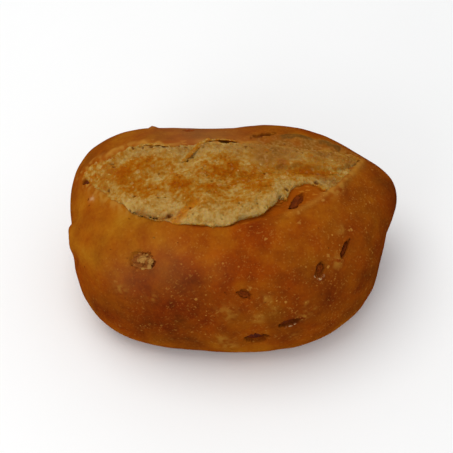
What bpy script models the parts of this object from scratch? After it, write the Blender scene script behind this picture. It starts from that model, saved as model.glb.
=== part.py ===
"""A small fruit bread: an oval roll with one wide torn slash, and raisins and a nut piece set in its crust.

The loaf is one solid. It is a star-shaped form: every ray from its heart meets the crust once, so
the crust is worked out as a distance from the heart in each direction. The torn slash, the lips
beside it and the lumps of the crust are relief on that form. Each raisin, and the nut piece, is a
solid of its own in a pocket of the crust.

Metres, +Z up. X runs along the roll, -Y is the side with the belly of the slash, and the origin is
under the middle of the roll, on the level of the tray that it was baked on.
"""

import math

import bmesh
import bpy
import numpy as np
from mathutils import Matrix, Vector, noise

MM = 0.001

# The plain form: how far the crust reaches from the heart, each way
HEART = np.array([-0.6, 0.4, 23.0]) * MM  # the heart's height is the roll's widest level
REACH_ENDS = 60.0 * MM
REACH_FRONT = 43.0 * MM
REACH_BACK = 42.0 * MM
REACH_UP = 35.5 * MM
REACH_DOWN = 33.5 * MM

# How full the corners are: 2 is an ellipse, and more is squarer
FULLNESS_LEFT_FRONT = 3.0
FULLNESS_RIGHT_FRONT = 2.15
FULLNESS_LEFT_BACK = 2.85
FULLNESS_RIGHT_BACK = 2.05
FULLNESS_ABOVE = 2.4
FULLNESS_BELOW = 2.7

# The two ends aren't alike: they bend back and lift, and the roll widens a little to the right
LEFT_END_BACK = 5.5 * MM
LEFT_END_LIFT = 3.0 * MM
RIGHT_END_BACK = 3.0 * MM
RIGHT_END_LIFT = 0.8 * MM
WIDENING = 0.10
TRAY_ROUNDING = 5.0 * MM  # how softly the side turns into the flat foot

# Broad swells of the dough: bearing and height angle from the heart, spread in degrees, and size
SWELLS = (
    (4.0, 12.0, 8.0, 3.6 * MM),
    (-14.0, 0.0, 10.0, -3.4 * MM),
    (144.0, 24.0, 19.0, 4.6 * MM),
    (-146.0, -15.0, 12.5, 2.7 * MM),
)
# Small lumps and dents of the crust, given the same way
LUMPS = (
    (-169.3, 11.0, 3.4, 2.3 * MM),  # the lobe at the left end
    (-174.6, 15.4, 2.3, -1.0 * MM),  # the crease above the lobe
    (-164.2, 6.6, 2.3, -1.0 * MM),  # the crease below it
    (39.0, 44.6, 5.0, 0.9 * MM),  # a raisin that stays under the skin
    (24.0, 34.7, 3.6, 0.8 * MM),  # another one beside it
    (132.4, 34.9, 1.7, 1.1 * MM),  # a nib of dough on the back edge
    (-148.0, 12.0, 2.0, 0.5 * MM),  # a blister
    (-27.0, -9.0, 2.5, -0.8 * MM),  # a nick low on the right
)
UNEVENNESS = 0.35 * MM
UNEVENNESS_SPACING = 21.0 * MM
UNEVENNESS_SEED = 5.3

# The torn slash, seen from above: a nearly straight back lip and a front lip with a deep belly
TEAR_MIDDLE = -4.1 * MM
TEAR_HALF_LENGTH = 52.0 * MM
TEAR_TIPS_BACK = 15.4 * MM
TEAR_BELLY = 36.0 * MM
TEAR_BELLY_FULLNESS = 1.56
TEAR_BOW = 6.0 * MM
# Smooth stretched skin between the front lip and the crumb: middle, half-length and width of each
SKINS = (
    (22.9 * MM, 8.0 * MM, 9.0 * MM),
    (13.4 * MM, 9.0 * MM, 3.6 * MM),
    (-15.6 * MM, 6.0 * MM, 1.6 * MM),
)
SKIN_SINK = 0.7 * MM
SKIN_STEP = 2.0 * MM

FRONT_LIP_RISE = 0.5 * MM
BACK_LIP_RISE = 1.0 * MM
LIP_SETBACK = 1.2 * MM
LIP_WIDTH = 1.6 * MM
CRUMB_GROOVE = 1.1 * MM
CRUMB_GROOVE_WIDTH = 1.5 * MM
CRUMB_RAMP = 3.0 * MM
CRUMB_FRONT_CROWN = 1.7 * MM
CRUMB_BACK_CROWN = 0.4 * MM
CRUMB_EDGE_WANDER = 0.6 * MM
CRUMB_EDGE_SPACING = 7.0 * MM
CRUMB_EDGE_SEED = 3.1
# The crags of the torn crumb: spacing along and across the roll, and height
CRAGS = (
    (15.0 * MM, 9.0 * MM, 1.3 * MM),
    (6.5 * MM, 4.2 * MM, 0.9 * MM),
    (3.4 * MM, 2.6 * MM, 0.45 * MM),
)
CRAG_SEED_STEP = 11.7
# A strand of dough that bridges the back of the tear: its two ends from above, its height and its width
STRAND_ENDS = np.array([(-11.3, 19.4), (-18.9, 9.6)]) * MM
STRAND_HEIGHT = 0.9 * MM
STRAND_WIDTH = 1.3 * MM

# The fruit: bearing and height angle from the heart, half-sizes along, across and into the crust in
# millimetres, the heading of its length from +X up the crust in degrees, and in millimetres how deep
# its middle lies and how deep the crust dips around it
RAISINS = (
    (-89.0, 24.6, (3.7, 2.5, 2.6), -30.0, 1.7, 0.9),
    (-68.7, 4.7, (4.9, 2.1, 3.0), 30.0, 1.9, 0.6),
    (-83.7, -6.1, (4.4, 3.3, 2.8), 8.0, 1.6, 0.7),
    (-49.8, 26.8, (3.3, 2.6, 2.6), 78.0, 1.8, 1.0),
    (-35.0, 26.9, (3.9, 1.9, 2.8), 58.0, 1.9, 0.7),
    (60.3, 51.2, (4.6, 2.1, 2.8), 14.0, 1.9, 0.5),
    (-26.8, 54.0, (4.3, 3.1, 3.0), 48.0, 1.3, 0.9),
    (118.0, 43.7, (2.7, 2.3, 2.2), 0.0, 1.0, 0.0),
    (172.5, 23.2, (2.6, 1.8, 2.0), -35.0, 1.1, 0.3),
    (95.5, 59.3, (3.4, 2.2, 2.4), 0.0, 1.5, 0.6),
    (74.0, 6.0, (4.7, 3.3, 2.8), 20.0, 1.7, 0.8),
    (131.0, -3.0, (4.2, 2.6, 2.7), -35.0, 1.8, 0.7),
    (104.0, 22.0, (3.6, 2.8, 2.6), 60.0, 1.8, 0.8),
    (22.0, 3.0, (4.1, 2.4, 2.8), 75.0, 1.8, 0.7),
    (-178.0, -12.0, (3.8, 3.0, 2.6), 25.0, 1.7, 0.7),
)
NUT = (-138.6, 27.5, (4.9, 3.6, 2.8), -8.0, 1.5, 0.4)
DENT_SPREAD = 1.5  # the dip's spread, against the fruit's own half-sizes
FRUIT_GAP = 0.35 * MM  # free space between a fruit and its pocket, so that the two solids never touch
UP_THE_CRUST = Vector((0.0, 0.78, 0.62))
RAISIN_WRINKLE = 0.16
NUT_WRINKLE = 0.22
WRINKLES_PER_HALF = 1.7
RAISIN_SEED_STEP = 2.3
NUT_SEED = 7.9

CRUST_COLOUR = (0.30, 0.10, 0.014)
RAISIN_COLOUR = (0.045, 0.014, 0.008)
NUT_COLOUR = (0.33, 0.17, 0.05)

SPHERE_SUBDIVISIONS = 5
TEAR_MARGIN = 2.5 * MM  # how far past the tear the finer triangles reach
OUTLINE_STEPS = 90
FRUIT_SIDES = 12
FRUIT_RINGS = 8


def smooth(t):
    """An even ramp from 0 to 1 with soft ends."""
    t = np.clip(t, 0.0, 1.0)
    return t * t * (3.0 - 2.0 * t)


def towards(bearing, height):
    """The unit vector at a bearing from +X and a height angle, both in degrees."""
    bearing, height = math.radians(bearing), math.radians(height)
    level = math.cos(height)
    return np.array([level * math.cos(bearing), level * math.sin(bearing), math.sin(height)])


def bumps(rays, places):
    """The sum of round bumps at places on the sphere of directions, for each ray."""
    total = np.zeros(len(rays))
    for bearing, height, spread, size in places:
        apart = np.degrees(np.arccos(np.clip(rays @ towards(bearing, height), -1.0, 1.0)))
        total += size * np.exp(-0.5 * (apart / spread) ** 2)
    return total


def wave(points, spacing, seed):
    """Soft noise from -1 to 1 at each point, with one wave about every spacing metres."""
    scaled = points / np.asarray(spacing) + seed
    return np.array([noise.noise(Vector(p)) for p in scaled]) * 2.0


def plain_crust(rays):
    """Where each ray from the heart meets the plain form, with no slash, fruit or small lumps yet."""
    x, y, z = rays.T
    ends = np.full(len(rays), REACH_ENDS)
    sides = np.where(y < 0, REACH_FRONT, REACH_BACK)
    levels = np.where(z < 0, REACH_DOWN, REACH_UP)
    across = np.maximum(np.hypot(x, y), 1e-9)
    right = smooth(0.5 + 0.5 * x / across)
    back = smooth(0.5 + 0.5 * y / across)
    plan = (1 - back) * ((1 - right) * FULLNESS_LEFT_FRONT + right * FULLNESS_RIGHT_FRONT)
    plan += back * ((1 - right) * FULLNESS_LEFT_BACK + right * FULLNESS_RIGHT_BACK)
    side = FULLNESS_BELOW + (FULLNESS_ABOVE - FULLNESS_BELOW) * smooth(0.5 + 0.5 * z)
    girdle = np.abs(x / ends) ** plan + np.abs(y / sides) ** plan
    reach = (girdle ** (side / plan) + np.abs(z / levels) ** side) ** (-1.0 / side)
    points = rays * (reach + bumps(rays, SWELLS))[:, None]
    along = points[:, 0] / REACH_ENDS
    points[:, 1] += np.where(along < 0, LEFT_END_BACK, RIGHT_END_BACK) * along**2
    points[:, 1] *= 1 + WIDENING * along
    points[:, 2] += np.where(along < 0, LEFT_END_LIFT, RIGHT_END_LIFT) * along**2
    return points + HEART


def outward(points):
    """The way out of the crust at each point, as an ellipsoid of the roll's size slopes there."""
    out = (points - HEART) / np.array([REACH_ENDS, REACH_FRONT, REACH_UP]) ** 2
    return out / np.linalg.norm(out, axis=1, keepdims=True)


def set_on_tray(points):
    """Presses the underside flat on the tray at height 0, with a soft turn from the side into the foot."""
    height, soft = points[:, 2], TRAY_ROUNDING
    turned = (height + soft) ** 2 / (4 * soft)
    points[:, 2] = np.where(height > soft, height, np.where(height < -soft, 0.0, turned))
    return points


def front_lip(x):
    along = np.clip((x - TEAR_MIDDLE) / TEAR_HALF_LENGTH, -1.0, 1.0)
    return TEAR_TIPS_BACK - TEAR_BELLY * (1 - along**2) ** (TEAR_BELLY_FULLNESS / 2)


def back_lip(x):
    along = np.clip((x - TEAR_MIDDLE) / TEAR_HALF_LENGTH, -1.0, 1.0)
    return TEAR_TIPS_BACK + TEAR_BOW * np.sqrt(1 - along**2)


def skin_width(x):
    """How wide the smooth stretched skin is inside the front lip."""
    width = np.zeros_like(x)
    for middle, half_length, most in SKINS:
        width += most * np.clip(1 - ((x - middle) / half_length) ** 2, 0.0, 1.0)
    return width


def distance_to_run(flat, start, end):
    """How far each point, seen from above, lies from a straight run."""
    run = end - start
    share = np.clip((flat - start) @ run / max(run @ run, 1e-12), 0.0, 1.0)
    return np.linalg.norm(flat - start - share[:, None] * run, axis=1)


def distance_inside(points, front, back):
    """How far each point lies inside a slash between two lips, seen from above. It is negative outside."""
    turn = np.linspace(0.0, math.pi, OUTLINE_STEPS)
    x = TEAR_MIDDLE - TEAR_HALF_LENGTH * np.cos(turn)
    ring = np.concatenate([np.stack([x, front(x)], 1), np.stack([x, back(x)], 1)[::-1]])
    flat = points[:, :2]
    nearest = np.full(len(flat), np.inf)
    for start, end in zip(ring, np.roll(ring, -1, axis=0)):
        nearest = np.minimum(nearest, distance_to_run(flat, start, end))
    above = points[:, 2] > HEART[2]
    inside = (flat[:, 1] > front(flat[:, 0])) & (flat[:, 1] < back(flat[:, 0]))
    inside &= np.abs(flat[:, 0] - TEAR_MIDDLE) < TEAR_HALF_LENGTH
    return np.where(above, np.where(inside, nearest, -nearest), -REACH_ENDS)


def crumb_front(x):
    """The front edge of the torn crumb, seen from above."""
    return front_lip(x) + skin_width(x)


def tear_relief(points):
    """The height of the lips, the stretched skin and the torn crumb over the plain crust."""
    x, y = points[:, 0], points[:, 1]
    torn = distance_inside(points, front_lip, back_lip)
    to_back = smooth((y - front_lip(x)) / np.maximum(back_lip(x) - front_lip(x), MM))
    lip_rise = FRONT_LIP_RISE * (1 - to_back) + BACK_LIP_RISE * to_back
    lip = lip_rise * np.exp(-(((torn + LIP_SETBACK) / LIP_WIDTH) ** 2))
    crumb = distance_inside(points, crumb_front, back_lip)
    crumb += CRUMB_EDGE_WANDER * wave(points, CRUMB_EDGE_SPACING, CRUMB_EDGE_SEED)
    skin = -SKIN_SINK * smooth(torn / SKIN_STEP)
    rise = CRUMB_FRONT_CROWN * (1 - to_back) + CRUMB_BACK_CROWN * to_back
    for number, (along, over, height) in enumerate(CRAGS, start=1):
        rise += height * wave(points, (along, over, over), CRAG_SEED_STEP * number)
    groove = -CRUMB_GROOVE * np.exp(-((crumb / CRUMB_GROOVE_WIDTH) ** 2)) * smooth(torn / SKIN_STEP)
    to_crumb = smooth(crumb / CRUMB_RAMP)
    strand = STRAND_HEIGHT * np.exp(-((distance_to_run(points[:, :2], *STRAND_ENDS) / STRAND_WIDTH) ** 2))
    strand *= points[:, 2] > HEART[2]
    return lip + groove + strand + skin * (1 - to_crumb) + rise * to_crumb


def fruit_frame(bearing, height, heading):
    """A fruit's place on the crust, and its axes along, across and out of the crust."""
    place = crust(towards(bearing, height)[None, :])[0]
    out = Vector(outward(place[None, :])[0])
    heading = math.radians(heading)
    length = Vector((1.0, 0.0, 0.0)) * math.cos(heading) + UP_THE_CRUST * math.sin(heading)
    along = (length - out * length.dot(out)).normalized()
    return Vector(place), along, out.cross(along), out


def fruit_dips(points):
    """How far the crust dips towards each fruit that shows in it."""
    dip = np.zeros(len(points))
    for bearing, height, half_sizes, heading, _, depth in (*RAISINS, NUT):
        middle = plain_crust(towards(bearing, height)[None, :])[0]
        spread = DENT_SPREAD * (half_sizes[0] + half_sizes[1]) / 2 * MM
        apart = np.linalg.norm(points - middle, axis=1)
        dip -= depth * MM * np.exp(-((apart / spread) ** 2))
    return dip


def crust(rays):
    """The whole crust along each ray from the heart: the plain form with its tear, lumps and dips."""
    points = plain_crust(rays)
    relief = tear_relief(points) + bumps(rays, LUMPS) + fruit_dips(points)
    relief += UNEVENNESS * wave(points, UNEVENNESS_SPACING, UNEVENNESS_SEED)
    return set_on_tray(points + outward(points) * relief[:, None])


def material(name, colour, roughness):
    made = bpy.data.materials.new(name)
    made.use_nodes = True
    shader = made.node_tree.nodes["Principled BSDF"]
    shader.inputs["Base Color"].default_value = (*colour, 1.0)
    shader.inputs["Roughness"].default_value = roughness
    shader.inputs["Metallic"].default_value = 0.0
    made.diffuse_color = (*colour, 1.0)
    return made


def add_object(name, mesh, collection, finish):
    made = bpy.data.objects.new(name, mesh)
    collection.objects.link(made)
    mesh.materials.append(finish)
    mesh.shade_smooth()
    return made


def add_loaf(collection, finish):
    """A ball of triangles, finer over the torn slash, with every corner moved out to the crust."""
    ball = bmesh.new()
    bmesh.ops.create_icosphere(ball, subdivisions=SPHERE_SUBDIVISIONS, radius=1.0)
    middles = np.array([face.calc_center_median().normalized() for face in ball.faces])
    torn = distance_inside(plain_crust(middles), front_lip, back_lip) > -TEAR_MARGIN
    edges = {edge for face, near in zip(ball.faces, torn) if near for edge in face.edges}
    bmesh.ops.subdivide_edges(ball, edges=list(edges), cuts=1, use_grid_fill=True)
    bmesh.ops.triangulate(ball, faces=ball.faces[:])
    rays = np.array([vert.co.normalized() for vert in ball.verts])
    for vert, place in zip(ball.verts, crust(rays)):
        vert.co = place
    mesh = bpy.data.meshes.new("loaf")
    ball.to_mesh(mesh)
    ball.free()
    return add_object("loaf", mesh, collection, finish)


def fruit_mesh(name, half_sizes, wrinkle, seed, room=0.0):
    """A wrinkled oval, long in X, with its skin moved out by the room that is kept around it."""
    oval = bmesh.new()
    bmesh.ops.create_uvsphere(oval, u_segments=FRUIT_SIDES, v_segments=FRUIT_RINGS, radius=1.0)
    bmesh.ops.triangulate(oval, faces=oval.faces[:])
    for vert in oval.verts:
        at = vert.co * WRINKLES_PER_HALF + Vector((seed, 0.0, 0.0))
        wrinkled = 1 - 2 * wrinkle * abs(noise.noise(at))
        vert.co = [size * part * wrinkled for size, part in zip(half_sizes, vert.co)]
    oval.normal_update()
    for place, vert in [(vert.co + vert.normal * room, vert) for vert in oval.verts]:
        vert.co = place
    mesh = bpy.data.meshes.new(name)
    oval.to_mesh(mesh)
    oval.free()
    return mesh


def add_fruit(name, row, wrinkle, seed, collection, cutters, finish):
    """One fruit in the crust, and the cutter that makes room for it."""
    bearing, height, half_sizes, heading, sunk, _ = row
    place, along, across, out = fruit_frame(bearing, height, heading)
    stand = Matrix((along, across, out)).transposed().to_4x4()
    stand.translation = place - out * sunk * MM
    sizes = [size * MM for size in half_sizes]
    fruit = add_object(name, fruit_mesh(name, sizes, wrinkle, seed), collection, finish)
    fruit.matrix_world = stand
    pocket = fruit_mesh(name + "_pocket", sizes, wrinkle, seed, FRUIT_GAP)
    cutter = add_object(name + "_pocket", pocket, cutters, finish)
    cutter.matrix_world = stand
    cutter.hide_render = True
    cutter.display_type = "WIRE"


def main():
    for old in list(bpy.data.objects):
        bpy.data.objects.remove(old, do_unlink=True)
    parts = bpy.data.collections.new("fruit_bread")
    cutters = bpy.data.collections.new("pockets")
    for collection in (parts, cutters):
        bpy.context.scene.collection.children.link(collection)

    loaf = add_loaf(parts, material("crust", CRUST_COLOUR, roughness=0.5))
    skin = material("raisin_skin", RAISIN_COLOUR, roughness=0.35)
    for number, row in enumerate(RAISINS, start=1):
        name, seed = f"raisin_{number:02d}", RAISIN_SEED_STEP * number
        add_fruit(name, row, RAISIN_WRINKLE, seed, parts, cutters, skin)
    nut_flesh = material("nut_flesh", NUT_COLOUR, roughness=0.6)
    add_fruit("nut_piece", NUT, NUT_WRINKLE, NUT_SEED, parts, cutters, nut_flesh)

    pockets = loaf.modifiers.new("pockets", "BOOLEAN")
    pockets.operation = "DIFFERENCE"
    pockets.operand_type = "COLLECTION"
    pockets.collection = cutters
    pockets.solver = "EXACT"


main()
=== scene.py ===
# %% [markdown]
# A small fruit bread, from plain solids to a baked look
#
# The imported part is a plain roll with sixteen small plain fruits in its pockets. It has the true size
# and the true main shapes, but no crumb, no browning and no skin. This lesson dresses it. Each piece
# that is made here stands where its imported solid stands, so every length is worked out from the same
# named values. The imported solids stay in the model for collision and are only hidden.

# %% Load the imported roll
import math

import bmesh
import bpy
import numpy as np
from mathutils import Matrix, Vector, noise

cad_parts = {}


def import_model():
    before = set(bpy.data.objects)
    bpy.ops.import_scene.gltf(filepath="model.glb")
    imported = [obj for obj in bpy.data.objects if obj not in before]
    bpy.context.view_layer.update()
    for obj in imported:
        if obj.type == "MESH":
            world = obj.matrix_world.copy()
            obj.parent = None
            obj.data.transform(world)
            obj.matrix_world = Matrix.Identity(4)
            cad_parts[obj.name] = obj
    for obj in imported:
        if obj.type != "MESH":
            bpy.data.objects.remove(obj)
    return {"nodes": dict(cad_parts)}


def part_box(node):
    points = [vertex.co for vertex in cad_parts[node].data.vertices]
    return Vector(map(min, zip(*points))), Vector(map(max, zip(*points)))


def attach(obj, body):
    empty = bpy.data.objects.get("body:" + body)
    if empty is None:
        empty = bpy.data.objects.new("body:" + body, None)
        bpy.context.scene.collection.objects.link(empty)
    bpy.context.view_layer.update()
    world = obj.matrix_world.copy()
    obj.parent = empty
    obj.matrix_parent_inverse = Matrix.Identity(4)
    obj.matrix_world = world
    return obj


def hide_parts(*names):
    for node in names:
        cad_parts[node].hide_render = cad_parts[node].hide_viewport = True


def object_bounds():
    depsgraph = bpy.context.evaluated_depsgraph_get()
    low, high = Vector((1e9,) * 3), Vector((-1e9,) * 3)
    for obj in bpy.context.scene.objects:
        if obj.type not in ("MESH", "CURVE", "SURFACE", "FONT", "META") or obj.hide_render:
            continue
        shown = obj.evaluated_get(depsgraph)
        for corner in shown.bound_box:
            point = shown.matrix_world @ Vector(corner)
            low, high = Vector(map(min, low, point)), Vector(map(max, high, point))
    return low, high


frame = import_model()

MM = 0.001
cad_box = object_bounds()
print("packed nodes:", len(frame["nodes"]))
longest_side = max(high - low for low, high in zip(*cad_box)) / MM
print("packed roll, longest side in mm:", round(longest_side, 1))

# %% [markdown]
# The form of the roll
#
# A roll is a blob of dough that swelled against a flat tray. It could be sculpted by hand, or made from
# a ball whose every corner is moved. Here it is a star-shaped form: from a heart inside the dough, each
# direction meets the crust once. An ellipse with squarer corners gives the plain form, and the ends
# bend back a little, because no roll is even. Lengths here are in millimetres.

# %% The heart, the reach and the fullness of the roll
HEART = np.array([-0.6, 0.4, 23.0])
REACH_ENDS, REACH_FRONT, REACH_BACK, REACH_UP, REACH_DOWN = 60.0, 43.0, 42.0, 35.5, 33.5
LEFT_FRONT, RIGHT_FRONT, LEFT_BACK, RIGHT_BACK = 3.0, 2.15, 2.85, 2.05
FULL_ABOVE, FULL_BELOW = 2.4, 2.7
LEFT_END_BACK, LEFT_END_LIFT, RIGHT_END_BACK, RIGHT_END_LIFT = 5.5, 3.0, 3.0, 0.8
WIDENING = 0.10
TRAY_ROUNDING = 5.0
SWELLS = (
    (4, 12, 8, 3.6), (-14, 0, 10, -3.4), (144, 24, 19, 4.6), (-146, -15, 12.5, 2.7),
)


def smooth(t):
    """An even ramp from 0 to 1 with soft ends."""
    t = np.clip(t, 0.0, 1.0)
    return t * t * (3.0 - 2.0 * t)


def after(values, start, run):
    """0 up to the start, then rising to 1 over the run."""
    return smooth((values - start) / run)


def before(values, end, run):
    """1 far before the end, falling to 0 over the run that leads to it."""
    return smooth((end - values) / run)


def bell(values, middle, half, power=2):
    """1 at the middle, falling softly to 0 on both sides."""
    return np.exp(-(((values - middle) / half) ** power))


def towards(bearing, height):
    """The unit vector at a bearing from +X and a height angle, both in degrees."""
    bearing, height = math.radians(bearing), math.radians(height)
    level = math.cos(height)
    return np.array([level * math.cos(bearing), level * math.sin(bearing), math.sin(height)])


def nearness(rays, bearing, height, spread):
    """1 for rays at a place on the crust, falling softly to 0 over the spread in degrees."""
    apart = np.degrees(np.arccos(np.clip(rays @ towards(bearing, height), -1.0, 1.0)))
    return np.exp(-0.5 * (apart / spread) ** 2)


def spots(rays, places):
    """The sum of soft spots on the crust. Each row is a bearing, a height, a spread and a share."""
    return sum(share * nearness(rays, *place) for *place, share in places)


def plain_crust(rays):
    """Where each ray from the heart meets the plain form."""
    x, y, z = rays.T
    sides = np.where(y < 0, REACH_FRONT, REACH_BACK)
    levels = np.where(z < 0, REACH_DOWN, REACH_UP)
    across = np.maximum(np.hypot(x, y), 1e-9)
    right, back = smooth(0.5 + 0.5 * x / across), smooth(0.5 + 0.5 * y / across)
    plan = (1 - back) * ((1 - right) * LEFT_FRONT + right * RIGHT_FRONT)
    plan += back * ((1 - right) * LEFT_BACK + right * RIGHT_BACK)
    side = FULL_BELOW + (FULL_ABOVE - FULL_BELOW) * smooth(0.5 + 0.5 * z)
    girdle = np.abs(x / REACH_ENDS) ** plan + np.abs(y / sides) ** plan
    reach = (girdle ** (side / plan) + np.abs(z / levels) ** side) ** (-1.0 / side)
    reach += spots(rays, SWELLS)
    points = rays * reach[:, None]
    along = points[:, 0] / REACH_ENDS
    points[:, 1] += np.where(along < 0, LEFT_END_BACK, RIGHT_END_BACK) * along**2
    points[:, 1] *= 1 + WIDENING * along
    points[:, 2] += np.where(along < 0, LEFT_END_LIFT, RIGHT_END_LIFT) * along**2
    return points + HEART


def outward(points):
    """The way out of the crust at each point."""
    out = (points - HEART) / np.array([REACH_ENDS, REACH_FRONT, REACH_UP]) ** 2
    return out / np.linalg.norm(out, axis=1, keepdims=True)


def set_on_tray(points):
    """Presses the underside flat on the tray at height 0, with a soft turn into the foot."""
    height, soft = points[:, 2], TRAY_ROUNDING
    turned = (height + soft) ** 2 / (4 * soft)
    points[:, 2] = np.where(height > soft, height, np.where(height < -soft, 0.0, turned))
    return points


print("the crust stands above its heart by", REACH_UP, "mm")

# %% [markdown]
# Uneven dough
#
# Nothing in a bakery is smooth at every scale. Soft noise gives slow swells, and the same noise with its
# sign folded over gives ridges, as where dough cracks. Every noise has a seed of its own, so the roll
# comes out the same each time.

# %% Noise in millimetres
CREST_SHARPNESS = 1.6


def wave(points, spacing, seed):
    """Soft noise from -1 to 1 at each point, with one wave about every spacing millimetres."""
    scaled = points / np.asarray(spacing, dtype=float) + seed
    return np.array([noise.noise(Vector(p)) for p in scaled]) * 2.0


def ridges(points, spacing, seed):
    """Noise from 0 to 1 with sharp crests."""
    return 1.0 - np.clip(np.abs(wave(points, spacing, seed)) * CREST_SHARPNESS, 0.0, 1.0)


def waves(points, layers):
    """The sum of several noises. Each layer is a height, a spacing and a seed."""
    return sum(height * wave(points, spacing, seed) for height, spacing, seed in layers)


sample = wave(np.random.default_rng(1).uniform(-50, 50, (2000, 3)), 21.0, 5.3)
print("soft noise runs from", round(sample.min(), 2), "to", round(sample.max(), 2))

# %% [markdown]
# The torn slash, seen from above
#
# Before baking, the dough was cut once along its top. In the oven the cut tore open: the back lip is
# nearly straight, and the front lip has a deep belly. On the right, smooth skin was stretched between
# the lip and the crumb. The distance of a point from these outlines tells everything else: where the
# lip rises, where the skin sinks and where the crumb starts.

# %% The outlines of the tear
TEAR_MIDDLE, TEAR_HALF_LENGTH, TEAR_TIPS_BACK = -4.1, 52.0, 15.4
TEAR_BELLY, TEAR_BELLY_FULLNESS, TEAR_BOW = 36.0, 1.56, 6.0
SKINS = ((22.9, 8.0, 9.0), (13.4, 9.0, 3.6), (-15.6, 6.0, 1.6))
OUTLINE_STEPS = 90


def front_lip(x):
    along = np.clip((x - TEAR_MIDDLE) / TEAR_HALF_LENGTH, -1.0, 1.0)
    return TEAR_TIPS_BACK - TEAR_BELLY * (1 - along**2) ** (TEAR_BELLY_FULLNESS / 2)


def back_lip(x):
    along = np.clip((x - TEAR_MIDDLE) / TEAR_HALF_LENGTH, -1.0, 1.0)
    return TEAR_TIPS_BACK + TEAR_BOW * np.sqrt(1 - along**2)


def crumb_front(x):
    """The front edge of the torn crumb: the lip, set back by the stretched skins."""
    width = np.zeros_like(x)
    for middle, half_length, most in SKINS:
        width += most * np.clip(1 - ((x - middle) / half_length) ** 2, 0.0, 1.0)
    return front_lip(x) + width


def distance_to_run(flat, start, end):
    run = end - start
    share = np.clip((flat - start) @ run / max(run @ run, 1e-12), 0.0, 1.0)
    return np.linalg.norm(flat - start - share[:, None] * run, axis=1)


def distance_inside(points, front, back):
    """How far each point lies inside the outline, seen from above. It is negative outside."""
    turn = np.linspace(0.0, math.pi, OUTLINE_STEPS)
    x = TEAR_MIDDLE - TEAR_HALF_LENGTH * np.cos(turn)
    ring = np.concatenate([np.stack([x, front(x)], 1), np.stack([x, back(x)], 1)[::-1]])
    flat = points[:, :2]
    nearest = np.full(len(flat), np.inf)
    for start, end in zip(ring, np.roll(ring, -1, axis=0)):
        nearest = np.minimum(nearest, distance_to_run(flat, start, end))
    inside = (flat[:, 1] > front(flat[:, 0])) & (flat[:, 1] < back(flat[:, 0]))
    inside &= np.abs(flat[:, 0] - TEAR_MIDDLE) < TEAR_HALF_LENGTH
    return np.where(points[:, 2] > HEART[2], np.where(inside, nearest, -nearest), -REACH_ENDS)


print("the tear is", 2 * TEAR_HALF_LENGTH, "mm long")

# %% [markdown]
# Where each fruit sits
#
# Raisins swell in the dough, and the crust closes over them or tears beside them. Each row gives a
# fruit's place, its half-sizes and its heading, as in the solids. The last values say how it shows:
# how wide the crust opens over it, how deep the opening is, how high its top stands, on which side the
# gap is widest, and how much baked skin covers it.

# %% The fruit table
# bearing, height, half-sizes, heading, sunk, dip,
# then the opening's share along and across, its depth, the top, the side of the gap and the skin
FRUIT = {
    "raisin_01": (-89.0, 24.6, (3.7, 2.5, 2.6), -30.0, 1.7, 0.9, 0.80, 0.62, 0.9, -0.10, -90, 0.65),
    "raisin_02": (-68.7, 4.7, (4.9, 2.1, 3.0), 30.0, 1.9, 0.6, 0.78, 0.78, 1.7, -0.75, 90, 0.25),
    "raisin_03": (-83.7, -6.1, (4.4, 3.3, 2.8), 8.0, 1.6, 0.7, 0.92, 0.98, 1.8, -0.65, 90, 0.0),
    "raisin_04": (-49.8, 26.8, (3.3, 2.6, 2.6), 78.0, 1.8, 1.0, 0.85, 0.72, 1.0, -0.10, 0, 0.6),
    "raisin_05": (-35.0, 26.9, (3.9, 1.9, 2.8), 58.0, 1.9, 0.7, 1.05, 0.62, 1.5, -0.45, 90, 0.35),
    "raisin_06": (60.3, 51.2, (4.6, 2.1, 2.8), 44.0, 1.9, 0.5, 1.0, 0.78, 1.4, -0.50, 0, 0.35),
    "raisin_07": (-26.8, 54.0, (4.3, 3.1, 3.0), 48.0, 1.3, 0.9, 1.0, 0.46, 1.4, 0.25, 180, 0.5),
    "raisin_08": (118.0, 43.7, (2.7, 2.3, 2.2), 0.0, 1.0, 0.0, 0.75, 0.75, 0.6, 0.55, 90, 0.9),
    "raisin_09": (172.5, 23.2, (2.6, 1.8, 2.0), -35.0, 1.1, 0.3, 0.95, 0.8, 1.0, -0.10, 180, 0.2),
    "raisin_10": (95.5, 59.3, (3.4, 2.2, 2.4), 0.0, 1.5, 0.6, 0.66, 0.60, 1.6, -0.90, 0, 0.0),
    "raisin_11": (74.0, 6.0, (4.7, 3.3, 2.8), 20.0, 1.7, 0.8, 0.95, 0.8, 1.4, -0.30, 90, 0.2),
    "raisin_12": (131.0, -3.0, (4.2, 2.6, 2.7), -35.0, 1.8, 0.7, 1.0, 0.65, 1.6, -0.70, -90, 0.3),
    "raisin_13": (104.0, 22.0, (3.6, 2.8, 2.6), 60.0, 1.8, 0.8, 0.9, 0.9, 1.2, -0.20, 180, 0.6),
    "raisin_14": (22.0, 3.0, (4.1, 2.4, 2.8), 75.0, 1.8, 0.7, 1.0, 0.7, 1.5, -0.50, 90, 0.2),
    "raisin_15": (-178.0, -12.0, (3.8, 3.0, 2.6), 25.0, 1.7, 0.7, 0.95, 0.85, 1.3, -0.25, -90, 0.45),
    "nut_piece": (-138.6, 27.5, (4.9, 3.6, 2.8), -8.0, 1.5, 0.4, 0.92, 0.90, 0.7, 0.60, 0, 0.8),
}
HALF_SIZES, SUNK, OPEN_ALONG, OPEN_ACROSS, OPEN_DEPTH, TOP, GAP_SIDE, SKIN = 2, 4, 6, 7, 8, 9, 10, 11
DENT_SPREAD = 1.5
UP_THE_CRUST = np.array([0.0, 0.78, 0.62])


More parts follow.
